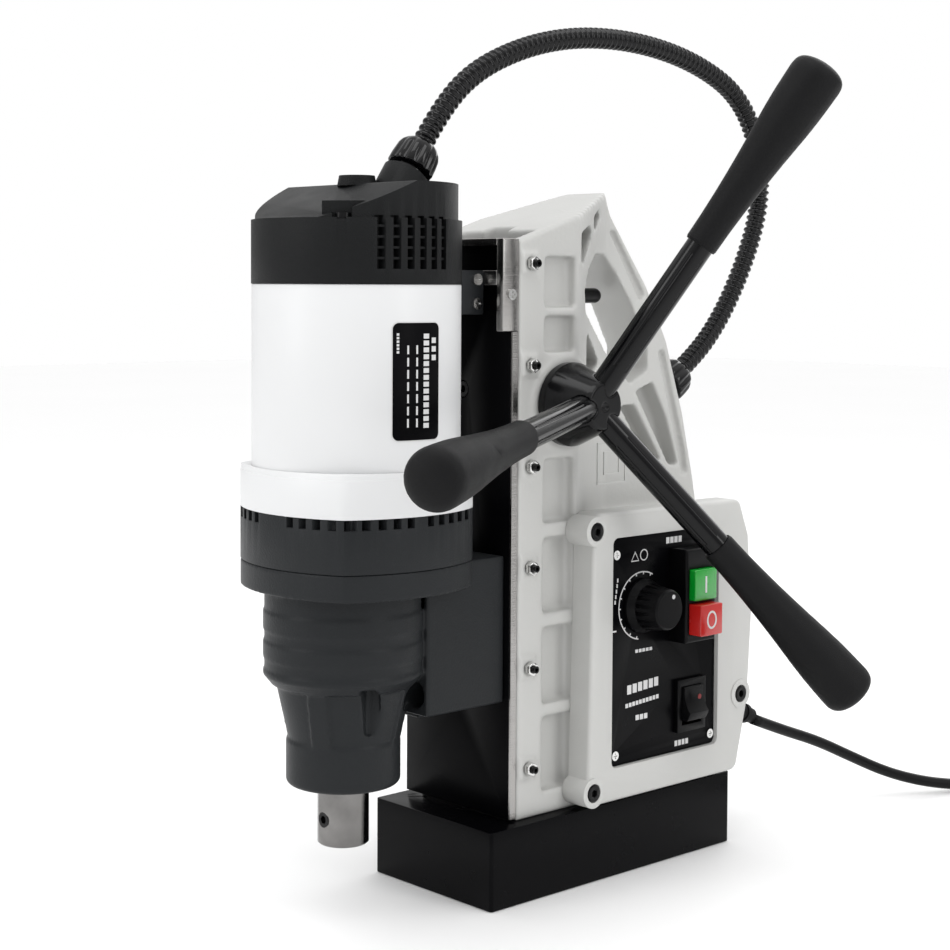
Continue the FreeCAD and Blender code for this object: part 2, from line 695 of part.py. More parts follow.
def make_cap():
    """The ventilated end cap with a narrower top and a boss for the conduit."""
    band = rod("0", MOTOR_Y, "cap_bottom", "can_radius + 0.3", "33.5")
    top = rod("0", MOTOR_Y, "371", "can_radius - 1.8", "cap_top - 371")
    slope = above_slope(0.0)
    boss = taper("0", MOTOR_Y, "cap_top - 1", "10.5", "9.5", "5.5")
    foot = leaning(upright("13", "14"), CAP_GLAND_TILT, "10", "0 - 137", "385")
    shell = fuse(cut(top, slope), band, boss, foot)
    room = cut(rod("0", MOTOR_Y, "cap_bottom - 1", "can_radius - 4.5", "46"), above_slope(8.0))
    columns, bars = [], []
    for y in VENT_AHEAD:
        columns.append(box("38", y, VENT_LOW, "30", "4.2", VENT_TALL))
        columns.append(box("0 - 68", y, VENT_LOW, "30", "4.2", VENT_TALL))
    for level in range(1, 5):
        for start in ("38", "0 - 68"):
            bars.append(box(start, f"{VENT_AHEAD[0]} - 1", f"346 + {level * 5.4:.1f} - 0.6",
                            "30", "45", "1.2"))
    wall = tube("0", MOTOR_Y, VENT_LOW, "can_radius - 1", "can_radius - 4.4", VENT_TALL)
    shell = cut(shell, room, *columns, *cap_screw_pockets("6"), gland_bore())
    node("motor_cap", fuse(shell, common(wall, fuse(*bars))))
    screws = []
    for x, y in CAP_SCREWS:
        head = rod(x, y, "371.1", "4", "3")
        cross = box(f"{x} - 2.6", f"{y} - 0.5", "373", "5.2", "1", "2")
        screws.append(cut(head, cross))
    node("cap_screws", *screws)


CAP_SCREWS = (("34", f"{MOTOR_Y} - 37"), ("0 - 34", f"{MOTOR_Y} + 37"))


def cap_screw_pockets(radius):
    return [rod(x, y, "371", radius, "40") for x, y in CAP_SCREWS]


CAP_GLAND_TILT = 34.0
CAP_GLAND = ("10", "0 - 128.9", "397")


def gland_bore():
    return leaning(upright("7.1", "40"), CAP_GLAND_TILT, "10", "0 - 140", "380.5")


def gland(name, tilt, x, y, z):
    """A hexagonal gland nut with a collar, and its threaded foot."""
    foot = fresh("Part::Cylinder", "rod")
    bind(foot, Radius="7", Height="8")
    foot = leaning_from(foot, tilt, x, y, z, -8.0)
    nut = fresh("Part::Prism", "nut")
    nut.Polygon = 6
    bind(nut, Circumradius="13.2", Height="11")
    nut = leaning_from(nut, tilt, x, y, z, 0.2)
    neck = fresh("Part::Cone", "neck")
    bind(neck, Radius1="11.6", Radius2="9", Height="9")
    neck = leaning_from(neck, tilt, x, y, z, 11.0)
    bore = leaning_from(upright("conduit_radius + 0.3", "60"), tilt, x, y, z, 6.0)
    node(name, cut(fuse(foot, nut, neck), bore))


def leaning_from(solid, tilt, x, y, z, along_axis):
    """Places an upright solid at a distance along a leaning axis."""
    lean = math.radians(tilt)
    across_y = f"{y} + {along_axis * math.sin(lean):.4f}"
    up_z = f"{z} + {along_axis * math.cos(lean):.4f}"
    return leaning(solid, tilt, x, across_y, up_z)


# ---------------------------------------------------------------- gearbox and spindle
def make_gearbox():
    """Upper block, ribbed barrel, nose and the lug that bolts to the slide."""
    head = bulged_square(MOTOR_Y, "192.2", "can_radius + 1", "can_bottom - 192.3")
    well = rod("0", MOTOR_Y, "200", "can_radius - can_wall - 2.2", "30")
    bearing_seat = rod("0", MOTOR_Y, "193", "11", "20")
    vents = []
    for i in range(5):
        for side in (-1, 1):
            x = f"{side * (14 + 8 * i)} - 2.2"
            vents.append(box(x, f"{MOTOR_Y} - 62", "can_bottom - 5.5", "4.4", "24", "6"))
            vents.append(box("40", f"{MOTOR_Y} - 44 + {8 * i + (45 if side > 0 else 0)}",
                             "can_bottom - 5.5", "24", "4.4", "6"))
    node("gearbox_head", cut(head, well, bearing_seat, *vents, gear_rooms(),
                             rod("0", MOTOR_Y, "191", "shaft_radius + 1", "20")))
    flange = bulged_square(MOTOR_Y, "178", "can_radius + 1", "14")
    barrel = rod("0", SPINDLE_Y, "132", "42", "50")
    ribs = [rod("0", SPINDLE_Y, level, "42.7", tall)
            for level, tall in (("132.5", "2.4"), ("141.8", "8.6"), ("156.7", "9.8"))]
    shoulder = taper("0", SPINDLE_Y, "127", "38", "42", "5")
    nose = taper("0", SPINDLE_Y, "gearbox_bottom", "29", "36", "128 - gearbox_bottom")
    fins = [fin(90 * k + 29) for k in range(4)]
    lug = box("0 - 35", "0 - 135", "109", "70", "135 - slide_front - 0.1", "81")
    step = box("0 - 17", "0 - 125", "104", "34", "125 - slide_front - 8", "26")
    collar = rod("0", SPINDLE_Y, "collar_bottom", "collar_radius",
                 "gearbox_bottom - collar_bottom + 1")
    collar = rounded(collar, 3.0, lambda e: e.BoundBox.ZMax < size("collar_bottom") + 1)
    body = fuse(flange, barrel, *ribs, shoulder, nose, *fins, lug, step, collar)
    bores = [gear_rooms(), rod("0", SPINDLE_Y, "collar_bottom - 1", "21.5", "78")]
    lower = [rod(x, "0 - 78", z, "4.2", "19", "-Y") for x, z in LUG_BOLTS]
    heads = [rod(x, "0 - 96", z, "7.3", "52", "-Y") for x, z in LUG_BOLTS]
    window = box("18", f"{SPINDLE_Y} - 60", "104", "8", "40", "26")
    window = turned(window, (0, 0, 1), 35, (0, value_of(SPINDLE_Y), 0))
    half_head = common(body, box("0 - 80", "0 - 230", "0", "160", "160", "192.1"))
    node("gearbox_housing", cut(half_head, *bores, *lower, *heads, window))
    bolts = []
    for x, z in LUG_BOLTS:
        head_solid = cut(rod(x, "0 - 96.1", z, "6.5", "8", "-Y"),
                         hexagon(x, "0 - 100", z, "6", "6", "-Y"))
        bolts.append(fuse(head_solid, rod(x, "0 - 78.6", z, "4", "18", "-Y")))
    node("lug_bolts", *bolts)


LUG_BOLTS = (("0 - 25", "120"), ("25", "120"), ("0 - 25", "170"), ("25", "170"))


def fin(angle):
    """One upright pilaster on the tapered nose, standing a little proud of it."""
    side = ((30.7, 2), (36.8, 30), (28, 30), (27, 2))
    rib = across([(f"{SPINDLE_Y} - {ahead}", f"gearbox_bottom + {up}") for ahead, up in side],
                 "5.5")
    return turned(rib, (0, 0, 1), angle, (0, value_of(SPINDLE_Y), 0))


LAYSHAFT = ("23.15", f"{MOTOR_Y} + 6.35")


def gear_rooms():
    """The spaces in which the lower and the upper gear pair turn."""
    lower = fuse(rod("0", SPINDLE_Y, "150", "22.5", "29.5"), rod(*LAYSHAFT, "159.2", "10.5", "22"),
                 rod(*LAYSHAFT, "152", "7", "10"))
    upper = fuse(rod(*LAYSHAFT, "179.6", "21.5", "17"), rod("0", MOTOR_Y, "178", "8", "20"),
                 rod("0", SPINDLE_Y, "179", "12.5", "8"))
    return fuse(lower, upper)


def make_gears():
    first, second = size("first_module"), size("second_module")
    pinion_teeth, counter_teeth = size("armature_teeth"), size("counter_teeth")
    layshaft_teeth, spindle_teeth = size("layshaft_teeth"), size("spindle_teeth")
    width = size("gear_width")
    motor_y, spindle_y = value_of(MOTOR_Y), value_of(SPINDLE_Y)
    lay = V(value_of(LAYSHAFT[0]), value_of(LAYSHAFT[1]), 0)
    facing = math.atan2(motor_y - lay.y, -lay.x)
    counter_gear = gear_shape(first, counter_teeth, width, 0, 0.58, facing)
    small = gear_shape(second, layshaft_teeth, width + 1, 0, 0.58,
                       math.atan2(spindle_y - lay.y, -lay.x))
    counter_gear.translate(V(lay.x, lay.y, 180.5))
    small.translate(V(lay.x, lay.y, 168))
    shaft = rod(*LAYSHAFT, "152.4", "4", "42")
    node("layshaft", fuse(raw(counter_gear), raw(small), shaft))
    away = math.atan2(lay.y - motor_y, lay.x)
    pinion = gear_shape(first, pinion_teeth, width + 2, 0, 0.58,
                        away + math.pi / pinion_teeth)
    pinion.translate(V(0, motor_y, 179.5))
    shaft = rod("0", MOTOR_Y, "179.5", "3.7", "13")
    core = fuse(rod("0", MOTOR_Y, "190.6", "shaft_radius", "157"), shaft, raw(pinion))
    node("armature_shaft", core)
    to_lay = math.atan2(lay.y - spindle_y, lay.x)
    big = gear_shape(second, spindle_teeth, width, 11, 0.58, to_lay + math.pi / spindle_teeth)
    big.translate(V(0, spindle_y, 168.5))
    node("spindle_gear", raw(big))


def make_rotating_motor():
    """Armature core, commutator, fan, stator and bearings."""
    node("armature_core", tube("0", MOTOR_Y, "258", "armature_radius", "shaft_radius", "62"),
         tube("0", MOTOR_Y, "324", "14", "shaft_radius", "15"))
    hub = tube("0", MOTOR_Y, "236", "12", "shaft_radius", "12")
    disc = tube("0", MOTOR_Y, "236", "44", "11.9", "2")
    blades = [turned(box("11.5", f"{MOTOR_Y} - 0.75", "237", "31", "1.5", "10"), (0, 0, 1),
                     30 * k, (0, value_of(MOTOR_Y), 0)) for k in range(12)]
    node("cooling_fan", fuse(hub, disc, *blades))
    stator = tube("0", MOTOR_Y, "256", "can_radius - can_wall", "armature_radius + 0.8", "66")
    node("stator", stator)
    bridge = box("0 - 52", f"{MOTOR_Y} - 15", "340.5", "104", "30", "6")
    seat = rod("0", MOTOR_Y, "340", "11", "8")
    round_cut = rod("0", MOTOR_Y, "330", "can_radius - 4.6", "30")
    node("bearing_bridge", cut(common(bridge, round_cut), seat))
    brushes = []
    for side, towards in (("14.3", "+X"), ("0 - 14.3", "-X")):
        brushes.append(rod(side, MOTOR_Y, "331", "3", "20", towards))
    holders = []
    for start, towards in (("18", "+X"), ("0 - 18", "-X")):
        holders.append(tube(start, MOTOR_Y, "331", "6", "3.1", "33", towards))
    node("brush_gear", *brushes, *holders)


def make_spindle():
    """The hollow spindle that takes a flatted cutter shank."""
    gap = "running_gap"
    outline = (("shank_radius", "spindle_bottom"), ("spindle_radius - 0.8", "spindle_bottom"),
               ("spindle_radius", "spindle_bottom + 0.8"), ("spindle_radius", "160"),
               ("11", "160"), ("11", "179"), ("0", "179"), ("0", "spindle_bottom + 36"),
               ("shank_radius", "spindle_bottom + 32"))
    body = lathe(outline, "0", SPINDLE_Y, "0")
    screw_holes = [rod("0", SPINDLE_Y, "spindle_bottom + 14", "4.05", "20", side)
                   for side in ("+Y", "-Y")]
    node("spindle", cut(body, *screw_holes))
    screws = []
    for side, sign in (("+Y", "+"), ("-Y", "-")):
        inner = f"{SPINDLE_Y} {sign} ( shank_radius + 0.3 )"
        socket = f"{SPINDLE_Y} {sign} ( shank_radius + 2 )"
        screw = rod("0", inner, "spindle_bottom + 14", "4", "3.7", side)
        screws.append(cut(screw, hexagon("0", socket, "spindle_bottom + 14", "4", "5", side)))
    node("shank_screws", *screws)
    bore = f"spindle_radius + {gap}"
    shaft_bore = f"shaft_radius + {gap}"
    node("bearings", tube("0", SPINDLE_Y, "77", "21.5", bore, "13"),
         tube("0", SPINDLE_Y, "140", "21.5", bore, "10"),
         tube("0", MOTOR_Y, "202", "11", shaft_bore, "7"),
         tube("0", MOTOR_Y, "341", "11", shaft_bore, "5"),
         tube(*LAYSHAFT, "152.1", "7", f"4 + {gap}", "7"))


# ---------------------------------------------------------------- upper bracket
def make_bracket():
    edge = "casting_half_width + 0.2"
    front, rear = "0 - 86", "0 - casting_front - 0.4"
    low, tall = "313", "50.4"
    right = fuse(box("slide_right + 0.1", front, low, f"{edge} - slide_right - 0.1",
                     f"{rear} - ( {front} )", tall),
                 box("35", front, low, f"{edge} - 35", f"{SLIDE_Y} - ( {front} )", tall))
    left_edge = "0 - slide_left - 1.7"
    left = fuse(box(left_edge, front, low, "1.6", f"{rear} - ( {front} )", tall),
                box(left_edge, front, low, "5", f"{SLIDE_Y} - ( {front} )", tall))
    node("bracket_sides", right, left)
    start, span = f"{left_edge} + 5", f"35 - ( {left_edge} + 5 )"
    depth = f"{SLIDE_Y} - ( {front} )"
    node("bracket_bars", box(start, front, "359.6", span, depth, "3.8"),
         box(start, front, "338", span, depth, "8"))
    block = box("0 - 25", "0 - 112", "322", "50", "112 - 86", "24")
    hollow = rod("0", MOTOR_Y, "300", "can_radius + 0.35", "80")
    node("motor_clamp", cut(block, hollow))
    screws = []
    for y, z in (("0 - 92", "328"), ("0 - 92", "341")):
        head = rod("25", y, z, "3.2", "2", "+X")
        screws.append(cut(head, box("26.2", f"{y} - 2", f"{z} - 0.4", "2", "4", "0.8")))
    head = rod(edge, "0 - 80", "333", "3", "1.4", "+X")
    screws.append(cut(head, box(f"{edge} + 0.8", "0 - 82", "332.6", "2", "4", "0.8"),
                      box(f"{edge} + 0.8", "0 - 80.4", "331", "2", "0.8", "4")))
    node("bracket_screws", *screws)


# ---------------------------------------------------------------- control box
COVER_OUTLINE = (("0 - 33", "46"), ("97", "46"), ("107.5", "87"), ("111", "140"),
                 ("107", "188"), ("98", "210"), ("0 - 29", "211"))
PANEL = (("0 - 14", "65"), ("78.5", "65"), ("78.5", "196"), ("0 - 14", "196"))
PANEL_SEAT = "cover_face - panel_recess - panel_thickness"
COVER_BASE = "casting_half_width + 0.2"
COVER_SCREWS = (("0 - 28", "201"), ("0 - 29", "54"), ("99.5", "92"))
PANEL_SCREWS = (("0 - 9.5", "186"), ("0 - 9.5", "71.5"), ("73.5", "71.5"), ("73.5", "186"))
KNOB = ("13", "155")


def make_cover():
    """The control box's moulded cover with a sunk place for the panel."""
    outer = prism("YZ", COVER_OUTLINE, COVER_BASE, "cover_face - ( casting_half_width + 0.2 )")
    outer = rounded(outer, 6.0, along((1, 0, 0)))
    lip = rounded(outer, 2.5, lambda e: e.BoundBox.XMin > size("cover_face") - 0.01)
    inside = (("0 - 19", "56"), ("90", "56"), ("97", "90"), ("99", "140"), ("96", "180"),
              ("91", "200"), ("0 - 19", "200"))
    hollow = prism("YZ", inside, "30", "20")
    bosses = [rod(COVER_BASE, y, z, "8.5", "cover_face - casting_half_width + 0.6", "+X")
              for y, z in COVER_SCREWS]
    seats = [rod("cover_face - 3.6", y, z, "5.3", "10", "+X") for y, z in COVER_SCREWS]
    ways = [rod("38", y, z, "2.7", "24", "+X") for y, z in COVER_SCREWS]
    sink = prism("YZ", PANEL, PANEL_SEAT, "10")
    sink = rounded(sink, 4.0, along((1, 0, 0)))
    switch_way = box("30", "40", "137", "30", "19", "38")
    rocker_way = box("30", "44.8", "78.8", "30", "20.4", "26.4")
    knob_way = rod("30", *KNOB, "5", "30", "+X")
    panel_ways = [rod("48", y, z, "1.6", "10", "+X") for y, z in PANEL_SCREWS]
    body = cut(fuse(lip, *bosses), hollow, *seats, *ways, sink, switch_way, rocker_way,
               knob_way, *panel_ways, tunnel_for_boot())
    node("control_cover", body)
    screws = []
    for y, z in COVER_SCREWS:
        head = cut(rod("cover_face - 3.5", y, z, "4.6", "4.6", "+X"),
                   hexagon("cover_face - 1.5", y, z, "4", "4", "+X"))
        screws.append(fuse(head, rod("40.3", y, z, "2.5", "13", "+X")))
    node("cover_screws", *screws)
    plate = prism("YZ", tuple(shrunk(PANEL, 0.4)), PANEL_SEAT, "panel_thickness")
    plate = rounded(plate, 3.5, along((1, 0, 0)))
    small_ways = [rod("48", y, z, "1.7", "10", "+X") for y, z in PANEL_SCREWS]
    node("control_panel", cut(plate, switch_way, rocker_way, knob_way, *small_ways))
    top = f"{PANEL_SEAT} + panel_thickness"
    screws = []
    for y, z in PANEL_SCREWS:
        head = rod(top, y, z, "2.7", "1.3", "+X")
        stem = rod("49", y, z, "1.5", f"{top} - 49 + 0.5", "+X")
        cross = [box(f"{top} + 0.6", f"{y} - 1.6", f"{z} - 0.35", "2", "3.2", "0.7"),
                 box(f"{top} + 0.6", f"{y} - 0.35", f"{z} - 1.6", "2", "0.7", "3.2")]
        screws.append(cut(fuse(head, stem), *cross))
    node("panel_screws", *screws)


def shrunk(points, gap):
    """The panel's outline, brought in by a gap on every side."""
    middle_y = sum(value_of(y) for y, _ in points) / len(points)
    middle_z = sum(value_of(z) for _, z in points) / len(points)
    for y, z in points:
        side = "+" if value_of(y) < middle_y else "-"
        level = "+" if value_of(z) < middle_z else "-"
        yield f"{y} {side} {gap}", f"{z} {level} {gap}"


def make_controls():
    """Knob, start and stop buttons, rocker and what is behind them."""
    top = f"{PANEL_SEAT} + panel_thickness"
    skirt = (("0", "0"), ("knob_radius + 2.5", "0"), ("knob_radius + 2.5", "2"),
             ("knob_radius + 0.4", "6.5"), ("knob_radius - 1.5", "knob_height - 1"),
             ("knob_radius - 2.5", "knob_height"), ("0", "knob_height"))
    knob = lathe(skirt, f"{top} + 0.4", *KNOB, "+X")
    grips = [turned(rod(f"{top} + 7", KNOB[0], f"{KNOB[1]} + knob_radius + 0.3", "1.3", "30",
                        "+X"),
                    (1, 0, 0), 20 * k, (0, value_of(KNOB[0]), value_of(KNOB[1])))
             for k in range(18)]
    shaft = rod("40.2", *KNOB, "3", f"{top} + 2 - 40.2", "+X")
    node("speed_knob", fuse(cut(knob, *grips), shaft))
    pot = rod("34", *KNOB, "9", "12", "+X")
    node("potentiometer", cut(fuse(pot, rod("45", *KNOB, "4.4", "8", "+X")),
                              rod("40", *KNOB, "3.05", "30", "+X")))
    bezel = box(top, "36.5", "131.5", "13.5", "26", "54.5")
    bezel = rounded(bezel, 1.5, lambda e: e.BoundBox.XMin > value_of(top) + 13)
    wells = [box("30", "39", "156", "60", "20", "18.8"), box("30", "39", "136", "60", "20", "18.8")]
    block = box("36", "40.5", "138", f"{top} - 36 + 0.1", "18", "36")
    inner = [box("36.1", "41.5", "157.5", "40", "16", "15.8"),
             box("36.1", "41.5", "138.5", "40", "16", "15.8")]
    node("switch_body", cut(fuse(cut(bezel, *wells), block), *inner))
    start_cap = rounded(box(f"{top} + 3.5", "39.4", "156.4", "14", "19.2", "18"), 1.0,
                        along((1, 0, 0)))
    node("start_button", fuse(start_cap, box("44", "45", "161", "14", "8", "8")))
    stop_cap = rounded(box(f"{top} + 3.5", "39.4", "136.4", "18.5", "19.2", "18"), 1.0,
                       along((1, 0, 0)))
    node("stop_button", fuse(stop_cap, box("44", "45", "141", "14", "8", "8")))
    middle_x = f"{top} - 5"
    frame = box(top, "42.5", "76.5", "2.6", "25", "31")
    socket = box("38", "45", "79", "18", "20", "26")
    well = box("37", "46.4", "80.6", "30", "17.2", "22.8")
    pivot_hole = rod(middle_x, "44.9", "92", "1.3", "20.2", "+Y")
    node("rocker_bezel", cut(fuse(frame, socket), well, pivot_hole))
    paddle = rod(middle_x, "46.7", "92", "14", "16.6", "+Y")
    limit = box(f"{top} - 4", "46", "82.1", "20", "18", "19.8")
    dip = rod(f"{top} + 22", "40", "96", "17", "30", "+Y")
    tilted = turned(cut(common(paddle, limit), dip), (0, 1, 0), -8,
                    (value_of(middle_x), 0, 92))
    pivot = rod(middle_x, "45.3", "92", "1.2", "19.4", "+Y")
    node("magnet_rocker", fuse(tilted, pivot))
    node("circuit_board", box("24", "0 - 12", "76", "1.6", "96", "100"))


# ---------------------------------------------------------------- mains lead
BOOT_ROOT = V(30.0, 100.4, 84.0)
BOOT_HEADING = V(0.03, 0.93, -0.37)
BOOT_LENGTH = 44.0


def tunnel_for_boot():
    """A flat on the cover's rear end where the lead's boot comes out beside it."""
    return box("30", "98.5", "74", "14", "14", "20")


def make_boot():
    """The ribbed, tapering strain relief on the casting's rear face."""
    heading = V(BOOT_HEADING).normalize()
    rings = [Part.makeCone(8.2, 4.6, BOOT_LENGTH)]
    for k in range(5):
        start = 5.0 + 7.4 * k
        rings.append(Part.makeCylinder(8.6 - 0.62 * k, 3.0, V(0, 0, start)))
    boot = rings[0].multiFuse(rings[1:]).removeSplitter()
    boot.Placement = FreeCAD.Placement(BOOT_ROOT, FreeCAD.Rotation(V(0, 0, 1), heading))
    half_space = box("0", "casting_rear + 0.1", "0", "100", "200", "200")
    node("lead_boot", common(raw(boot), half_space))


# points of the mains lead, from the boot's tip down to the floor and away
LEAD_ROUTE = ((33, 141, 66), (35, 166, 56), (40, 198, 44.5), (46, 228, 30), (54, 256, 16.5),
              (64, 284, 7), (75, 312, 4.2), (85, 340, 4))
COIL_CENTRE = (129, 372)
# the wound coil: two layers of turns lying on each other
COIL_INNER, COIL_OUTER, COIL_HEIGHT = 26.5, 57.5, 14.4
PLUG_SIDE, PLUG_HEIGHT = "180", "14"
# points of the conduit, from the gland on the leg over the arch to the gland on the cap
CONDUIT_ROUTE = ((0, 96.8, 279.5), (0, 120, 293.5), (0, 143, 315), (1, 163, 345),
                 (1, 180, 381), (2, 182, 410), (3, 173, 438), (4, 153, 460), (5, 122, 473),
                 (7, 83, 481), (8, 40, 484), (9, -4, 481), (11, -46, 471), (12, -84, 454),
                 (11, -107, 431), (10, -120.2, 409.9))


def rounded_path(points, name, diameter):
    """Straight runs joined by tangent arcs, each as large as its two runs allow."""
    points = [V(*p) for p in points]
    edges, start = [], points[0]
    radii = []
    for before, corner, after in zip(points, points[1:], points[2:]):
        back, onward = before - corner, after - corner
        shorter = min(back.Length, onward.Length)
        turn = math.pi - back.getAngle(onward)
        radii.append(0.45 * shorter / math.tan(turn / 2.0))
        first = corner + V(back).normalize() * 0.45 * shorter
        last = corner + V(onward).normalize() * 0.45 * shorter
        reach = radii[-1] / math.cos(turn / 2.0) - radii[-1]
        middle = (V(back).normalize() + V(onward).normalize()).normalize()
        edges.append(Part.LineSegment(start, first).toShape())
        edges.append(Part.Arc(first, corner + middle * reach, last).toShape())
        start = last
    edges.append(Part.LineSegment(start, points[-1]).toShape())
    print(name, "length", round(sum(e.Length for e in edges), 1),
          "least radius", round(min(radii), 1), "of", 5 * diameter, "wanted")
    return Part.Wire(edges)


def swept(points, name, radius):
    """A round tube along a rounded path, checked against section times length."""
    path = rounded_path(points, name, 2 * radius)
    heading = path.Edges[0].tangentAt(path.Edges[0].FirstParameter)
    section = Part.Wire(Part.Circle(V(*points[0]), heading, radius).toShape())
    solid = path.makePipeShell([section], True, False)
    expected = math.pi * radius ** 2 * path.Length
    if abs(solid.Volume / expected - 1.0) > 0.01:
        raise RuntimeError(f"{name} has {solid.Volume:.0f} for {expected:.0f} cubic mm")
    return solid


def make_cords():
    node("conduit", raw(swept(CONDUIT_ROUTE, "conduit", size("conduit_radius"))))
    node("mains_lead", raw(swept(LEAD_ROUTE, "mains lead", size("lead_radius"))))
    x, y = (str(c) for c in COIL_CENTRE)
    ring = tube(x, y, "0", str(COIL_OUTER), str(COIL_INNER), str(COIL_HEIGHT))
    node("lead_coil", rounded(ring, 5.0, lambda e: e.Length > 100))
    sleeve = taper(PLUG_SIDE, "335", PLUG_HEIGHT, "4.4", "8", "22", "-Y")
    grip = taper(PLUG_SIDE, "313.1", PLUG_HEIGHT, "12", "14", "14", "-Y")
    front = rod(PLUG_SIDE, "299.2", PLUG_HEIGHT, "14", "16", "-Y")
    node("plug_body", fuse(sleeve, grip, front))
    node("plug_pins", *[rod(f"{PLUG_SIDE} + {offset}", "283.1", PLUG_HEIGHT, "2.4", "19", "-Y")
                        for offset in ("0 - 9.5", "9.5")])


# ---------------------------------------------------------------- build and write
def check_and_write():
    doc.recompute()
    for thing in doc.Objects:
        if "Invalid" in thing.State or "Error" in thing.State:
            raise RuntimeError(f"{thing.Name} ({thing.Label}) failed: {thing.State}")
    for name, piece in nodes.items():
        shape = piece.Shape
        if shape.isNull() or not shape.isValid() or not shape.Solids:
            raise RuntimeError(f"{name} is not a valid solid")
        print(f"{name}: {len(shape.Solids)} solids, {shape.Volume / 1000:.1f} cm3")
        shape.exportStep(f"parts/{name}.step")


make_magnet()
make_base_bolts()
make_casting()
make_gib()
make_stop_pin()
make_slide()
make_rack()
make_feed()
make_motor_case()
make_cap()
gland("cap_gland", CAP_GLAND_TILT, *CAP_GLAND)
gland("leg_gland", LEG_GLAND_TILT, *LEG_GLAND)
make_gearbox()
make_gears()
make_rotating_motor()
make_spindle()
make_bracket()
make_cover()
make_controls()
make_boot()
make_cords()
check_and_write()
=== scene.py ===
import json
import math

import bmesh
import bpy
from mathutils import Matrix, Vector


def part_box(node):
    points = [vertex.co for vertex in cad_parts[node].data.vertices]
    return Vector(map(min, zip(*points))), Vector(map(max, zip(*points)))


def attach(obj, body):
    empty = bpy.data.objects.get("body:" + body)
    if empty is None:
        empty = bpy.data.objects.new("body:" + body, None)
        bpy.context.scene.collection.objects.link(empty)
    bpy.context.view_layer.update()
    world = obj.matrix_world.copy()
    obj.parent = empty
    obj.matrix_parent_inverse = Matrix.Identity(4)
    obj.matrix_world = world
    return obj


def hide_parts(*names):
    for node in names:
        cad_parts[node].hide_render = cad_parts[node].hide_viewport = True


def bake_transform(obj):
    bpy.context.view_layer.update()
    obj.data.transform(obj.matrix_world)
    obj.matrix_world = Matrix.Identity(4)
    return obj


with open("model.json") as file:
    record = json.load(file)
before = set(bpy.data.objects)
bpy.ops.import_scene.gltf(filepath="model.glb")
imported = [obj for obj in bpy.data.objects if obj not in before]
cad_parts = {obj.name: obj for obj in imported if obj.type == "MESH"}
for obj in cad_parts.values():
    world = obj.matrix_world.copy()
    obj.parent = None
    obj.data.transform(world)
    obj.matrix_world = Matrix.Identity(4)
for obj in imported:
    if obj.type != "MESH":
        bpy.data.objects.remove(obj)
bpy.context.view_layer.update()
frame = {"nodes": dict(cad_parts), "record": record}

# Magnetic drill press, in metres: +Z up, -Y towards the motor, +X towards the control panel.
MM = 0.001
BODY_OF = {node: body for body, nodes in frame["record"]["behaviour"]["bodies"].items()
           for node in nodes}


def linked(name, work):
    """An object made from a finished bmesh."""
    mesh = bpy.data.meshes.new(name)
    work.to_mesh(mesh)
    work.free()
    obj = bpy.data.objects.new(name, mesh)
    bpy.context.collection.objects.link(obj)
    return obj


# ------------------------------------------------------------------ materials
def surface(name, colour, rough, metal=0.0, coat=0.0, grain=(900.0, 0.15), mottle=(14.0, 0.08),
            rough_spread=0.08, specular=0.5, brushed=None):
    """A painted, moulded or machined surface: fine grain, slow colour drift, uneven gloss."""
    mat = bpy.data.materials.new(name)
    mat.use_nodes = True
    nodes, links = mat.node_tree.nodes, mat.node_tree.links
    shader = nodes["Principled BSDF"]
    shader.inputs["Metallic"].default_value = metal
    shader.inputs["Coat Weight"].default_value = coat
    shader.inputs["Coat Roughness"].default_value = 0.12
    shader.inputs["Specular IOR Level"].default_value = specular
    where = nodes.new("ShaderNodeTexCoord")

    def noise(scale, detail=3.0, stretch=None):
        made = nodes.new("ShaderNodeTexNoise")
        made.inputs["Scale"].default_value = scale
        made.inputs["Detail"].default_value = detail
        source = where.outputs["Object"]
        if stretch is not None:
            mapping = nodes.new("ShaderNodeMapping")
            mapping.inputs["Scale"].default_value = stretch
            links.new(source, mapping.inputs["Vector"])
            source = mapping.outputs["Vector"]
        links.new(source, made.inputs["Vector"])
        return made.outputs["Fac"]

    slow = noise(mottle[0], 4.0)
    drift = nodes.new("ShaderNodeMix")
    drift.data_type = "RGBA"
    dark = [c * (1.0 - mottle[1]) for c in colour]
    light = [min(1.0, c * (1.0 + mottle[1])) for c in colour]
    drift.inputs[6].default_value = (*dark, 1.0)
    drift.inputs[7].default_value = (*light, 1.0)
    links.new(slow, drift.inputs[0])
    links.new(drift.outputs[2], shader.inputs["Base Color"])

    fine = noise(grain[0], 2.0, brushed)
    spread = nodes.new("ShaderNodeMapRange")
    spread.inputs["To Min"].default_value = max(0.02, rough - rough_spread)
    spread.inputs["To Max"].default_value = rough + rough_spread
    links.new(noise(mottle[0] * 5.0, 4.0), spread.inputs["Value"])
    links.new(spread.outputs["Result"], shader.inputs["Roughness"])
    bump = nodes.new("ShaderNodeBump")
    bump.inputs["Strength"].default_value = grain[1]
    bump.inputs["Distance"].default_value = 0.0004
    links.new(fine, bump.inputs["Height"])
    links.new(bump.outputs["Normal"], shader.inputs["Normal"])
    return mat


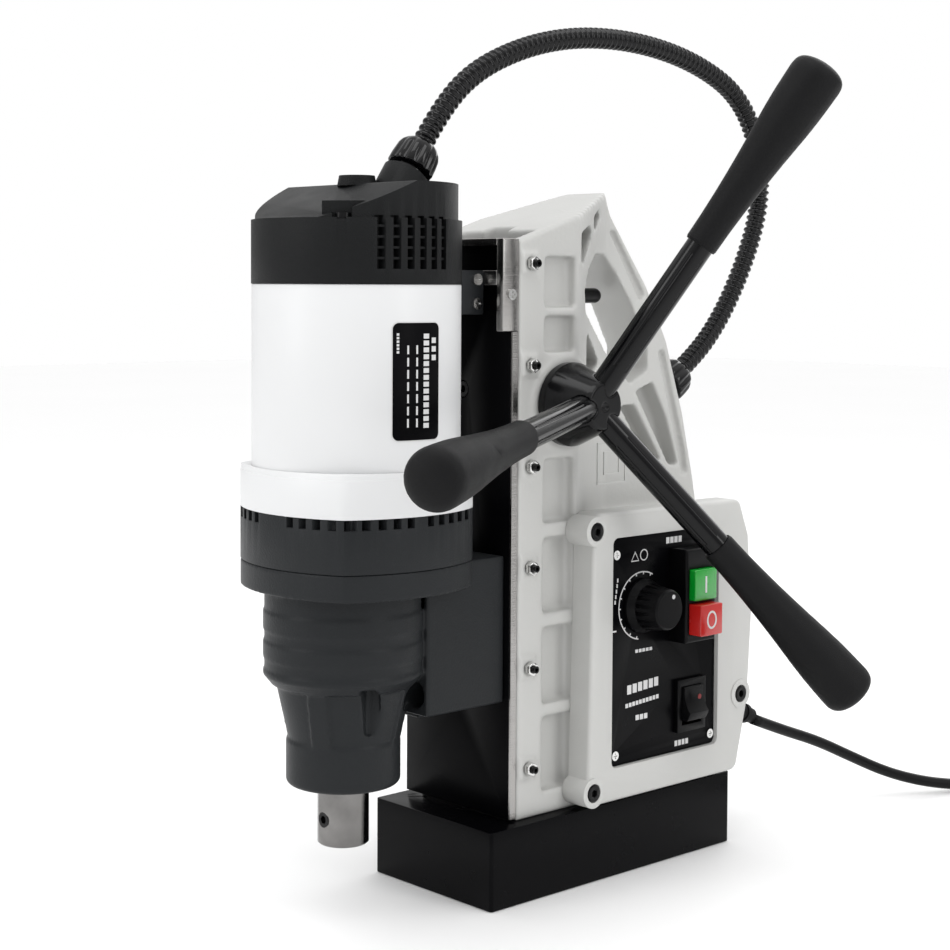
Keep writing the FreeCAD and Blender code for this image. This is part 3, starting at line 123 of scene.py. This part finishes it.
SKIN = {
    "magnet_black": surface("magnet_black", (0.0015, 0.0015, 0.002), 0.25, specular=0.07,
                            grain=(260.0, 0.04)),
    "slide_black": surface("slide_black", (0.0015, 0.0015, 0.002), 0.34, specular=0.05,
                           grain=(500.0, 0.05)),
    "casting_white": surface("casting_white", (0.50, 0.50, 0.485), 0.38, coat=0.08,
                             grain=(420.0, 0.3), mottle=(9.0, 0.02)),
    "cover_white": surface("cover_white", (0.52, 0.52, 0.505), 0.45, grain=(1300.0, 0.3),
                           mottle=(9.0, 0.015)),
    "can_white": surface("can_white", (0.68, 0.685, 0.69), 0.42, coat=0.04,
                         grain=(300.0, 0.05), mottle=(9.0, 0.01)),
    "cap_black": surface("cap_black", (0.0075, 0.008, 0.0085), 0.46, specular=0.13,
                         grain=(1500.0, 0.6)),
    "gearbox_grey": surface("gearbox_grey", (0.0165, 0.018, 0.0195), 0.4, specular=0.14,
                            grain=(1100.0, 0.4)),
    "bright_steel": surface("bright_steel", (0.36, 0.35, 0.34), 0.2, metal=1.0,
                            grain=(700.0, 0.2), brushed=(0.03, 0.03, 5.0), mottle=(30.0, 0.2)),
    # spindle steel: partly the steel's own tone, partly painted reflection, its colour darkened
    # with a strong slow drift to stand in for the dark bands polished steel reflects
    "spindle_steel": surface("spindle_steel", (0.2, 0.195, 0.19), 0.13, metal=1.0,
                             grain=(700.0, 0.1), brushed=(90.0, 90.0, 1.5),
                             mottle=(60.0, 0.5)),
    "plated": surface("plated", (0.66, 0.66, 0.65), 0.16, metal=1.0, grain=(900.0, 0.1)),
    "black_steel": surface("black_steel", (0.003, 0.003, 0.0035), 0.3, specular=0.2,
                           grain=(900.0, 0.1)),
    "hub_black": surface("hub_black", (0.002, 0.002, 0.0025), 0.14, specular=0.2, coat=0.06,
                         grain=(200.0, 0.02)),
    "grip_rubber": surface("grip_rubber", (0.005, 0.005, 0.0055), 0.5, specular=0.14,
                           grain=(2200.0, 0.5)),
    "conduit_black": surface("conduit_black", (0.0015, 0.0015, 0.002), 0.13, specular=0.25,
                             coat=0.1, grain=(500.0, 0.05)),
    "lead_black": surface("lead_black", (0.003, 0.003, 0.0035), 0.36, specular=0.15,
                          grain=(900.0, 0.15)),
    "panel_black": surface("panel_black", (0.0015, 0.0015, 0.002), 0.3, specular=0.06,
                           grain=(1800.0, 0.12)),
    "switch_black": surface("switch_black", (0.002, 0.002, 0.0025), 0.36, specular=0.12,
                            grain=(1500.0, 0.2)),
    "button_green": surface("button_green", (0.0, 0.3, 0.02), 0.25, coat=0.4,
                            grain=(700.0, 0.06)),
    "button_red": surface("button_red", (0.5, 0.012, 0.01), 0.25, coat=0.4,
                          grain=(700.0, 0.06)),
    "copper": surface("copper", (0.55, 0.22, 0.09), 0.35, metal=1.0, grain=(500.0, 0.4)),
    "potting": surface("potting", (0.03, 0.03, 0.032), 0.5, grain=(300.0, 0.3)),
    "bronze": surface("bronze", (0.6, 0.4, 0.16), 0.3, metal=1.0, grain=(800.0, 0.15)),
    "lamination": surface("lamination", (0.2, 0.2, 0.2), 0.4, metal=1.0, grain=(900.0, 0.6),
                          brushed=(0.02, 0.02, 4.0)),
    "fan_grey": surface("fan_grey", (0.05, 0.05, 0.055), 0.5, grain=(1200.0, 0.2)),
    "board_green": surface("board_green", (0.01, 0.12, 0.04), 0.35, grain=(500.0, 0.2)),
    "print_white": surface("print_white", (0.62, 0.62, 0.62), 0.45, grain=(900.0, 0.05)),
    "indicator_red": surface("indicator_red", (0.18, 0.004, 0.004), 0.4,
                             grain=(900.0, 0.05)),
}
SLOT_OF = {s["node"]: s["material_slot"] for s in frame["record"]["subparts"]}


def dress(obj, skin):
    """Gives an object one material in place of all its own."""
    obj.data.materials.clear()
    obj.data.materials.append(SKIN[skin])
    return obj


# ------------------------------------------------------------------ pieces from CAD nodes
def finish_mesh(obj, modifiers):
    """Applies modifiers given as (type, settings) and returns the object."""
    for kind, settings in modifiers:
        added = obj.modifiers.new(kind.lower(), kind)
        for key, value in settings.items():
            setattr(added, key, value)
    graph = bpy.context.evaluated_depsgraph_get()
    made = bpy.data.meshes.new_from_object(obj.evaluated_get(graph))
    obj.modifiers.clear()
    obj.data = made
    return obj


def copy_of(node):
    """A loose copy of a CAD node's mesh with its flat faces joined again."""
    mesh = frame["nodes"][node].data.copy()
    work = bmesh.new()
    work.from_mesh(mesh)
    bmesh.ops.remove_doubles(work, verts=work.verts, dist=2e-6)
    bmesh.ops.dissolve_limit(work, angle_limit=math.radians(0.3), verts=work.verts,
                             edges=work.edges)
    work.to_mesh(mesh)
    work.free()
    obj = bpy.data.objects.new(f"{node}_skin", mesh)
    bpy.context.collection.objects.link(obj)
    return obj


def stand_in(obj, node, skin=None):
    """Puts a finished piece in a node's place, on its body and in its slot."""
    dress(obj, skin or SLOT_OF[node])
    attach(obj, BODY_OF[node])
    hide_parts(node)
    return obj


def smooth(obj, angle=35.0):
    """Shades an object smooth, with a crease where faces meet above an angle."""
    obj.data.shade_smooth()
    obj.data.set_sharp_from_angle(angle=math.radians(angle))
    return obj


def bevelled(node, width, segments=2, angle=32.0, skin=None):
    """A machined piece: the CAD shape with its edges broken."""
    obj = copy_of(node)
    finish_mesh(obj, [("BEVEL", {"width": width, "segments": segments, "limit_method": "ANGLE",
                                 "angle_limit": math.radians(angle)})])
    return stand_in(smooth(obj), node, skin)


def cast(node, voxel, rounds, keep, skin=None):
    """A cast or moulded piece: every inner and outer edge softly rounded."""
    obj = copy_of(node)
    finish_mesh(obj, [("REMESH", {"mode": "VOXEL", "voxel_size": voxel}),
                      ("SMOOTH", {"factor": 0.5, "iterations": rounds}),
                      ("DECIMATE", {"ratio": keep})])
    return stand_in(smooth(obj, 50.0), node, skin)


# ------------------------------------------------------------------ camera, floor and light
def make_camera():
    """The viewing angle: front right of the motor, a little above its middle."""
    data = bpy.data.cameras.new("camera")
    data.sensor_width = 36.0
    data.lens = 71.233
    data.shift_x = 0.0322
    data.shift_y = -0.1100
    data.clip_start, data.clip_end = 0.05, 20.0
    camera = bpy.data.objects.new("camera", data)
    bpy.context.collection.objects.link(camera)
    right = Vector((0.671325, 0.741150, 0.004475)).normalized()
    up = Vector((-0.037192, 0.027656, 0.998925)).normalized()
    back = right.cross(up)
    turn = Matrix((right, up, back)).transposed().to_4x4()
    camera.matrix_world = Matrix.Translation((0.770386, -0.790087, 0.338675)) @ turn
    bpy.context.scene.camera = camera


def make_floor():
    """A wide plain pale floor just under the magnet."""
    mesh = bpy.data.meshes.new("floor")
    half = 6.0
    mesh.from_pydata([(-half, -half, 0), (half, -half, 0), (half, half, 0), (-half, half, 0)],
                     [], [(0, 1, 2, 3)])
    floor = bpy.data.objects.new("floor", mesh)
    floor.location.z = -0.0004
    bpy.context.collection.objects.link(floor)
    mat = surface("floor_pale", (0.93, 0.93, 0.93), 0.7, grain=(60.0, 0.02), mottle=(2.0, 0.01))
    mesh.materials.append(mat)


def area_light(name, place, aim, size, power):
    """A soft box at a place, turned towards a point."""
    data = bpy.data.lights.new(name, "AREA")
    data.shape = "RECTANGLE"
    data.size, data.size_y = size
    data.energy = power
    light = bpy.data.objects.new(name, data)
    light.location = place
    heading = Vector(aim) - Vector(place)
    light.rotation_euler = heading.to_track_quat("-Z", "Y").to_euler()
    bpy.context.collection.objects.link(light)


def make_lights():
    """Bright overhead and dim at the horizon, with a white backdrop and soft boxes."""
    world = bpy.data.worlds.new("studio")
    world.use_nodes = True
    nodes, links = world.node_tree.nodes, world.node_tree.links
    where = nodes.new("ShaderNodeTexCoord")
    split = nodes.new("ShaderNodeSeparateXYZ")
    ramp = nodes.new("ShaderNodeValToRGB")
    path = nodes.new("ShaderNodeLightPath")
    backdrop = nodes.new("ShaderNodeBackground")
    blend = nodes.new("ShaderNodeMixShader")
    links.new(where.outputs["Generated"], split.inputs["Vector"])
    links.new(split.outputs["Z"], ramp.inputs["Fac"])
    ramp.color_ramp.elements[0].position = 0.05
    ramp.color_ramp.elements[0].color = (0.42, 0.42, 0.42, 1)
    ramp.color_ramp.elements[1].position = 0.6
    ramp.color_ramp.elements[1].color = (1, 1, 1, 1)
    links.new(ramp.outputs["Color"], nodes["Background"].inputs["Color"])
    nodes["Background"].inputs["Strength"].default_value = 1.15
    backdrop.inputs["Strength"].default_value = 1.0
    backdrop.inputs["Color"].default_value = (1, 1, 1, 1)
    links.new(path.outputs["Is Camera Ray"], blend.inputs["Fac"])
    links.new(nodes["Background"].outputs["Background"], blend.inputs[1])
    links.new(backdrop.outputs["Background"], blend.inputs[2])
    links.new(blend.outputs["Shader"], nodes["World Output"].inputs["Surface"])
    bpy.context.scene.world = world
    middle = (0.0, 0.0, 0.22)
    area_light("key_left", (-0.5, -1.7, 0.9), middle, (0.5, 1.2), 7.0)
    area_light("key_right", (1.6, 0.3, 0.9), middle, (0.4, 1.2), 6.0)
    area_light("top", (0.3, -0.5, 1.9), middle, (1.0, 1.0), 8.0)
    area_light("rear", (-0.6, 1.6, 1.0), middle, (1.2, 1.0), 5.0)
    bpy.context.scene.view_settings.view_transform = "Standard"


make_camera()
make_floor()
make_lights()

# ------------------------------------------------------------------ cords: points in millimetres
# points of the mains lead, from the boot's tip down to the floor and away to its coil
LEAD_ROUTE = ((33, 141, 66), (35, 166, 56), (40, 198, 44.5), (46, 228, 30), (54, 256, 16.5),
              (66, 280, 8.5), (77, 302, 4.6), (84, 318, 3.8), (86, 333, 3.8))
LEAD_DIAMETER = 0.007
COIL_CENTRE = Vector((129, 372)) * MM
COIL_WIDE, COIL_NARROW = 54 * MM, 34 * MM
COIL_STARTS, COIL_TURNS = 208.0, 5.58
# points of the conduit, from the gland on the leg over the arch to the gland on the cap
CONDUIT_ROUTE = ((0, 96.8, 279.5), (0, 120, 293.5), (0, 143, 315), (1, 163, 345),
                 (1, 180, 381), (2, 182, 410), (3, 173, 438), (4, 153, 460), (5, 122, 473),
                 (7, 83, 481), (8, 40, 484), (9, -4, 481), (11, -46, 471), (12, -84, 454),
                 (11, -107, 431), (10, -120.2, 409.9))
CONDUIT_RADIUS = 6.2 * MM


def in_metres(route):
    """The vectors of points given in millimetres."""
    return [Vector(point) * MM for point in route]


def spline_line(points, finer=10):
    """The points of a smooth NURBS line that has these as its control points."""
    curve = bpy.data.curves.new("route", "CURVE")
    curve.dimensions = "3D"
    spline = curve.splines.new("NURBS")
    spline.points.add(len(points) - 1)
    for control, point in zip(spline.points, points):
        control.co = (*point, 1.0)
    spline.order_u = 3
    spline.use_endpoint_u = True
    spline.resolution_u = finer
    carrier = bpy.data.objects.new("route", curve)
    bpy.context.collection.objects.link(carrier)
    graph = bpy.context.evaluated_depsgraph_get()
    mesh = bpy.data.meshes.new_from_object(carrier.evaluated_get(graph))
    line = [v.co.copy() for v in mesh.vertices]
    bpy.data.objects.remove(carrier)
    return line


def along_line(line, distances):
    """Points on a line at given distances from its start."""
    found, walked, index = [], 0.0, 0
    for wanted in distances:
        while index < len(line) - 2 and walked + (line[index + 1] - line[index]).length < wanted:
            walked += (line[index + 1] - line[index]).length
            index += 1
        run = line[index + 1] - line[index]
        found.append(line[index] + run * min(1.0, max(0.0, (wanted - walked) / run.length)))
    return found


def length_of(line):
    """The length of a line of points."""
    return sum((b - a).length for a, b in zip(line, line[1:]))


def tube_mesh(name, line, radii, sides=20):
    """A closed round tube through the points of a line, with a radius at each."""
    work = bmesh.new()
    heading = (line[1] - line[0]).normalized()
    across = heading.orthogonal().normalized()
    rings = []
    for i, point in enumerate(line):
        before, after = line[max(0, i - 1)], line[min(len(line) - 1, i + 1)]
        turned = (after - before).normalized() if (after - before).length > 1e-9 else heading
        across = heading.rotation_difference(turned) @ across
        heading = turned
        third = heading.cross(across)
        rings.append([work.verts.new(point + radii[i] * (math.cos(a) * across
                                                        + math.sin(a) * third))
                      for a in (math.tau * k / sides for k in range(sides))])
    for low, high in zip(rings, rings[1:]):
        for k in range(sides):
            work.faces.new((low[k], low[(k + 1) % sides], high[(k + 1) % sides], high[k]))
    work.faces.new(list(reversed(rings[0])))
    work.faces.new(rings[-1])
    obj = linked(name, work)
    obj.data.shade_smooth()
    return obj


def make_conduit():
    """A corrugated conduit: rounded ridges with narrow valleys, one after the other."""
    pitch, steps = 4.3 * MM, 8
    line = spline_line(in_metres(CONDUIT_ROUTE), 24)
    count = int(length_of(line) / pitch) * steps
    distances = [length_of(line) * i / count for i in range(count + 1)]
    depth = (1.0, 1.0, 0.96, 0.84, 0.79, 0.79, 0.84, 0.96)
    radii = [CONDUIT_RADIUS * depth[i % steps] for i in range(count + 1)]
    conduit = tube_mesh("conduit_corrugated", along_line(line, distances), radii, 24)
    dress(conduit, "conduit_black")
    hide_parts("conduit")
    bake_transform(conduit)
    return conduit, line


def coil_points():
    """Turns of a coil in two layers: in towards the middle on the floor, then back out."""
    per_turn = 24
    steps = int(COIL_TURNS * per_turn)
    low, high = LEAD_DIAMETER / 2 + 0.3 * MM, LEAD_DIAMETER * 1.5 + 0.5 * MM
    hop = 0.35 / COIL_TURNS
    points = []
    for i in range(steps + 1):
        share = i / steps
        inward = abs(2.0 * share - 1.0)
        radius = COIL_NARROW + (COIL_WIDE - COIL_NARROW) * inward
        rise = min(1.0, max(0.0, (share - 0.5 + hop / 2) / hop))
        angle = math.radians(COIL_STARTS) - math.tau * COIL_TURNS * share
        spot = COIL_CENTRE + radius * Vector((math.cos(angle), math.sin(angle)))
        points.append(Vector((spot.x, spot.y, low + (high - low) * rise * rise * (3 - 2 * rise))))
    return points


def make_lead():
    """The mains lead: down from the boot, along the floor, wound up, and to its plug."""
    plug_low, plug_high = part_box("plug_body")
    side, level = (plug_low.x + plug_high.x) / 2, (plug_low.z + plug_high.z) / 2
    end = Vector((side, plug_high.y - 2 * MM, level))
    run_in = [end + Vector((0.6, 24, -1.0)) * MM, end + Vector((0, 10, 0)) * MM]
    points = in_metres(LEAD_ROUTE) + coil_points() + run_in + [end]
    line = spline_line(points, 8)
    radii = [LEAD_DIAMETER / 2] * len(line)
    lead = tube_mesh("mains_lead_line", line, radii, 14)
    dress(lead, "lead_black")
    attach(lead, "frame")
    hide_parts("mains_lead", "lead_coil")
    return lead, line


# ------------------------------------------------------------------ small pieces
def loft(name, rings, closed_along=False, caps=True):
    """A mesh through rings of points, each ring closed on itself."""
    work = bmesh.new()
    rows = [[work.verts.new(point) for point in ring] for ring in rings]
    count = len(rows[0])
    pairs = list(zip(rows, rows[1:])) + ([(rows[-1], rows[0])] if closed_along else [])
    for low, high in pairs:
        for k in range(count):
            work.faces.new((low[k], low[(k + 1) % count], high[(k + 1) % count], high[k]))
    if caps and not closed_along:
        work.faces.new(list(reversed(rows[0])))
        work.faces.new(rows[-1])
    bmesh.ops.recalc_face_normals(work, faces=work.faces)
    return linked(name, work)


def make_gland(node, origin, tilt):
    """A screwed conduit gland: a foot, a seal ring and a domed nut with fluted sides."""
    lean = math.radians(tilt)
    axis = Vector((0, math.sin(lean), math.cos(lean)))
    side = Vector((1, 0, 0))
    other = axis.cross(side)
    foot = Vector(origin) * MM
    # height along the axis, radius and flute depth of each ring, in millimetres
    profile = ((-0.5, 6.4, 0), (-0.5, 9.6, 0), (1.4, 9.8, 0), (1.6, 8.8, 0), (2.4, 8.8, 0),
               (2.6, 11.4, 0), (3.4, 12.4, 0.1), (4.2, 12.9, 0.8), (9.0, 12.8, 1.1),
               (13.5, 12.3, 1.1), (16.2, 11.3, 0.7), (18.4, 9.6, 0.2), (19.6, 8.0, 0),
               (19.9, 6.9, 0), (18.8, 6.25, 0))
    sides, flutes = 144, 12
    rings = []
    for height, radius, depth in profile:
        ring = []
        for k in range(sides):
            angle = math.tau * k / sides
            flute = (0.5 + 0.5 * math.cos(flutes * angle)) ** 2
            reach = (radius - depth * flute) * MM
            ring.append(foot + axis * height * MM
                        + reach * (math.cos(angle) * side + math.sin(angle) * other))
        rings.append(ring)
    return stand_in(smooth(loft(f"{node}_skin", rings, closed_along=True), 50.0), node)


def marking(name, outlines, body, frame_of, thick=0.12 * MM, skin="print_white"):
    """Printed marks: outlines in millimetres, laid on a surface given by frame_of."""
    work = bmesh.new()
    for outline in outlines:
        low = [work.verts.new(frame_of(u * MM, v * MM, 0.0)) for u, v in outline]
        high = [work.verts.new(frame_of(u * MM, v * MM, thick)) for u, v in outline]
        count = len(low)
        work.faces.new(list(reversed(low)))
        work.faces.new(high)
        for k in range(count):
            work.faces.new((low[k], low[(k + 1) % count], high[(k + 1) % count], high[k]))
    bmesh.ops.recalc_face_normals(work, faces=work.faces)
    obj = dress(linked(name, work), skin)
    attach(obj, body)
    return obj


def bar(u, v, wide, tall):
    """A mark's outline: a bar about a centre."""
    return [(u - wide / 2, v - tall / 2), (u + wide / 2, v - tall / 2),
            (u + wide / 2, v + tall / 2), (u - wide / 2, v + tall / 2)]


def disc(u, v, radius, corners):
    """A mark's outline: a round spot about a centre."""
    return [(u + radius * math.cos(math.tau * k / corners),
             v + radius * math.sin(math.tau * k / corners)) for k in range(corners)]


def arc_pieces(u, v, inner, outer, start, end, steps):
    """An arc band as a row of four-cornered outlines."""
    def spot(radius, angle):
        return (u + radius * math.cos(math.radians(angle)),
                v + radius * math.sin(math.radians(angle)))
    turns = [start + (end - start) * i / steps for i in range(steps + 1)]
    return [[spot(inner, a), spot(outer, a), spot(outer, b), spot(inner, b)]
            for a, b in zip(turns, turns[1:])]


def on_plane_x(x):
    """A surface facing +X: u runs along +Y and v along +Z."""
    return lambda u, v, out: Vector((x + out, u, v))


def make_panel_marks():
    """The knob's dial and the generic printing on the panel, placed from the knob."""
    panel_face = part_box("control_panel")[1].x
    knob_low, knob_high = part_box("speed_knob")
    u, v = [(low + high) / 2 / MM for low, high in zip(knob_low[1:], knob_high[1:])]
    outlines = arc_pieces(u, v, 19.0, 19.7, 62, 262, 40)
    for k in range(11):
        outlines += arc_pieces(u, v, 17.8, 19.0, 66 + 19 * k, 68.4 + 19 * k, 1)
    outlines.append(bar(u - 23, v - 12.5, 3.4, 0.9))
    outlines += [bar(u - 22.5 + 0.5 * k, v + 4 + 3.1 * k, 1.0, 2.2) for k in range(5)]
    outlines += [bar(u - 4 + 3 * k, v - 26, 2.3, 1.9) for k in range(5)]
    outlines += [bar(u + 22 + 3.6 * k, v + 35.5, 2.8, 3.6) for k in range(4)]
    outlines += [bar(u + 31 + 3.2 * k, 70.0, 2.4, 3.2) for k in range(4)]
    outlines += [bar(u - 10 + 4.6 * k, 107.5 + 0.35 * k, 3.5, 5.2) for k in range(6)]
    outlines += [bar(u - 12 + 2.9 * k, 98.5 + 0.2 * k, 2.2, 2.4) for k in range(10)]
    outlines += [bar(u - 3 + 3.6 * k, 90.5, 2.8, 3.0) for k in range(3)]
    ring = arc_pieces(u + 1.5, v + 29, 2.7, 3.3, 0, 360, 24)
    triangle = [[(u - 9.4, v + 25.8), (u - 8.8, v + 26.4), (u - 3.2, v + 26.4),
                 (u - 2.6, v + 25.8)],
                [(u - 9.4, v + 25.8), (u - 6.0, v + 31.6), (u - 6.0, v + 30.6),
                 (u - 8.8, v + 26.4)],
                [(u - 2.6, v + 25.8), (u - 3.2, v + 26.4), (u - 6.0, v + 30.6),
                 (u - 6.0, v + 31.6)]]
    marking("panel_marks", outlines + ring + triangle, "frame", on_plane_x(panel_face))


def make_button_marks():
    """A bar on the start button, a ring on the stop button and a spot on the knob."""
    for node in ("start_button", "stop_button"):
        low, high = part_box(node)
        u, v = (low.y + high.y) / 2 / MM, (low.z + high.z) / 2 / MM
        if node == "stop_button":
            shapes = []
            for k in range(36):
                a, b = math.tau * k / 36, math.tau * (k + 1) / 36
                shapes.append([(u + w * math.cos(t), v + h * math.sin(t))
                               for w, h, t in ((3.1, 4.1, a), (4.3, 5.3, a),
                                               (4.3, 5.3, b), (3.1, 4.1, b))])
        else:
            shapes = [bar(u, v, 1.5, 9.6)]
        marking(f"{node}_mark", shapes, node, on_plane_x(high.x))
    low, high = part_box("speed_knob")
    u, v = (low.y + high.y) / 2 / MM, (low.z + high.z) / 2 / MM
    dot = [disc(u + 3.0, v + 7.2, 1.3, 20)]
    marking("knob_dot", dot, "knob", on_plane_x(high.x))


def make_label():
    """The motor's label: a curved plate with round corners, a border and generic lines."""
    low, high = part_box("rating_plate")
    can_low, can_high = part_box("motor_can")
    centre = Vector(((can_low.x + can_high.x) / 2, (can_low.y + can_high.y) / 2))
    radius = (can_high.x - can_low.x) / 2
    turns = [math.asin((y - centre.y) / radius) for y in (low.y, high.y)]
    middle, half_u = (turns[0] + turns[1]) / 2, radius * (turns[1] - turns[0]) / 2 / MM
    height, half_v = (low.z + high.z) / 2, (high.z - low.z) / 2 / MM
    corner = 4.0

    def frame_of(u, v, out):
        angle = middle + u / radius
        reach = radius + out
        return Vector((centre.x + reach * math.cos(angle), centre.y + reach * math.sin(angle),
                       height + v))

    def top_of(u, inset):
        past = max(0.0, abs(u) - (half_u - corner))
        return half_v - corner + math.sqrt(max(0.0, (corner - inset) ** 2 - past ** 2))

    def filled(name, inset, base, thick, skin):
        reach, columns = half_u - inset, 40
        edges = [-reach * math.cos(math.pi * k / columns) for k in range(columns + 1)]
        rows = [[(u, -top_of(u, inset)), (u, top_of(u, inset))] for u in edges]
        work = bmesh.new()
        sheets = []
        for out in (base, base + thick):
            sheets.append([[work.verts.new(frame_of(u * MM, v * MM, out * MM)) for u, v in row]
                           for row in rows])
        for sheet in sheets:
            for left, right in zip(sheet, sheet[1:]):
                work.faces.new((left[0], right[0], right[1], left[1]))
        inner, outer = sheets
        for end in (0, 1):
            for k in range(columns):
                work.faces.new((inner[k][end], inner[k + 1][end], outer[k + 1][end],
                                outer[k][end]))
        for k in (0, columns):
            work.faces.new((inner[k][0], inner[k][1], outer[k][1], outer[k][0]))
        bmesh.ops.recalc_face_normals(work, faces=work.faces)
        obj = dress(linked(name, work), skin)
        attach(obj, "carriage")
        return obj

    border, lift, face_thick = 0.7, 0.02, 0.3
    backing = filled("label_backing", 0.0, lift, 0.18, "print_white")
    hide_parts("rating_plate")
    face = filled("label_face", border, lift, face_thick, "panel_black")
    shapes = [bar(-3.2, -21 + 6.2 * k, 6.4, 4.4) for k in range(7)]
    shapes += [bar(5.4, -22.5 + 3.5 * k, 3.6, 2.5) for k in range(14)]
    shapes += [bar(10.6, 12.0 + 4.4 * k, 3.0, 2.8) for k in range(3)]
    shapes += [bar(-11.6, 15.0 + 1.8 * k, 1.4, 1.2) for k in range(6)]
    marking("label_marks", shapes, "carriage",
            lambda u, v, out: frame_of(u, v, out + (lift + face_thick) * MM), 0.05 * MM)


def make_emboss():
    """A plain raised square frame with a smaller one in it, cast on the right side."""
    middle_y, middle_z, face_x, sunk, thick = 0.8, 236.8, 40.0, 0.1, 0.9
    outlines = []
    for half, band in ((11.5, 0.9), (6.2, 0.8)):
        for side in (-1, 1):
            outlines.append(bar(middle_y + side * half, middle_z, band, 2 * half + band))
            outlines.append(bar(middle_y, middle_z + side * half, 2 * half - band, band))
    marking("cast_square", outlines, "frame", on_plane_x(face_x * MM - sunk * MM), thick * MM,
            "casting_white")


def make_cap_painted_shade():
    """A dark sheet inside the cap behind its air slots: painted shade standing in for the shade
    inside the cap.
    """
    low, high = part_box("motor_cap")
    centre = Vector(((low.x + high.x) / 2, (low.y + high.y) / 2, 0.0))
    gap, thick, columns = 5.5 * MM, 1.0 * MM, 40
    first_turn, sweep = -60, 130
    bottom, top = low.z + 8 * MM, low.z + 42 * MM
    reach = (high.x - low.x) / 2 - gap
    turns = [math.radians(first_turn + sweep * k / columns) for k in range(columns + 1)]
    rings = [[centre + Vector(((reach - inset) * math.cos(a), (reach - inset) * math.sin(a), z))
              for a in turns]
             for z, inset in ((bottom, 0.0), (top, 0.0), (top, thick), (bottom, thick))]
    work = bmesh.new()
    rows = [[work.verts.new(point) for point in ring] for ring in rings]
    for row, following in zip(rows, rows[1:] + rows[:1]):
        for k in range(columns):
            work.faces.new((row[k], row[k + 1], following[k + 1], following[k]))
    for k in (0, columns):
        work.faces.new([row[k] for row in rows])
    bmesh.ops.recalc_face_normals(work, faces=work.faces)
    # painted shade: a black sheet where the inside of the cap is only in shade
    shade_sheet = dress(linked("cap_painted_shade", work), "cap_black")
    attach(shade_sheet, "carriage")


def make_slide_edge():
    """The bright machined edge of the slide plate."""
    low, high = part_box("slide_plate")
    inside, inset, top = 1.5 * MM, 0.3 * MM, 312.8 * MM
    strip_low = Vector((high.x - inside, low.y + inset, low.z + inset))
    rings = []
    for z in (strip_low.z, top):
        y = strip_low.y
        rings.append([Vector((strip_low.x, y, z)), Vector((high.x - inset, y, z)),
                      Vector((high.x + 0.12 * MM, y + 0.4 * MM, z)),
                      Vector((high.x + 0.12 * MM, y + 3.9 * MM, z)),
                      Vector((strip_low.x, y + 3.9 * MM, z))])
    strip = loft("slide_edge", rings)
    dress(strip, "bright_steel")
    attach(strip, "carriage")


def make_rocker_dot():
    """The red spot near the top of the magnet rocker."""
    low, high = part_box("magnet_rocker")
    u, v = (low.y + high.y) / 2 / MM, high.z / MM - 5.5
    spot = [disc(u, v, 1.5, 16)]
    marking("rocker_dot", spot, "rocker", on_plane_x(high.x - 0.25 * MM), 0.3 * MM,
            "indicator_red")


# ------------------------------------------------------------------ build the pieces
softened = {
    "magnet_housing": 1.0, "control_cover": 1.0, "control_panel": 0.3, "slide_plate": 0.35,
    "motor_can": 0.5, "motor_ring": 0.9, "motor_cap": 0.7, "gearbox_head": 0.9,
    "bracket_sides": 0.5, "bracket_bars": 0.4, "motor_clamp": 0.5, "spindle": 0.5,
    "switch_body": 0.5, "rocker_bezel": 0.4, "magnet_rocker": 0.4, "start_button": 0.4,
    "stop_button": 0.4, "gib_lock_nuts": 0.25, "cover_screws": 0.2, "stop_pin": 0.3,
    "plug_body": 0.8,
}
for node_name, width in softened.items():
    bevelled(node_name, width * MM, skin="spindle_steel" if node_name == "spindle" else None)
cast("frame_casting", 1.4 * MM, 5, 0.5)
cast("gearbox_housing", 0.9 * MM, 4, 0.35)
cast("hub", 0.45 * MM, 6, 0.5)

make_gland("cap_gland", (10, -128.9, 397), 34)
make_gland("leg_gland", (0, 89, 275), 60)
make_panel_marks()
make_button_marks()
make_label()
make_cap_painted_shade()
make_emboss()
make_slide_edge()
make_rocker_dot()
conduit, conduit_line = make_conduit()
lead, lead_line = make_lead()

for node_name, cad_node in frame["nodes"].items():
    if not cad_node.hide_render:
        dress(cad_node, "black_steel" if node_name == "cap_screws" else SLOT_OF[node_name])
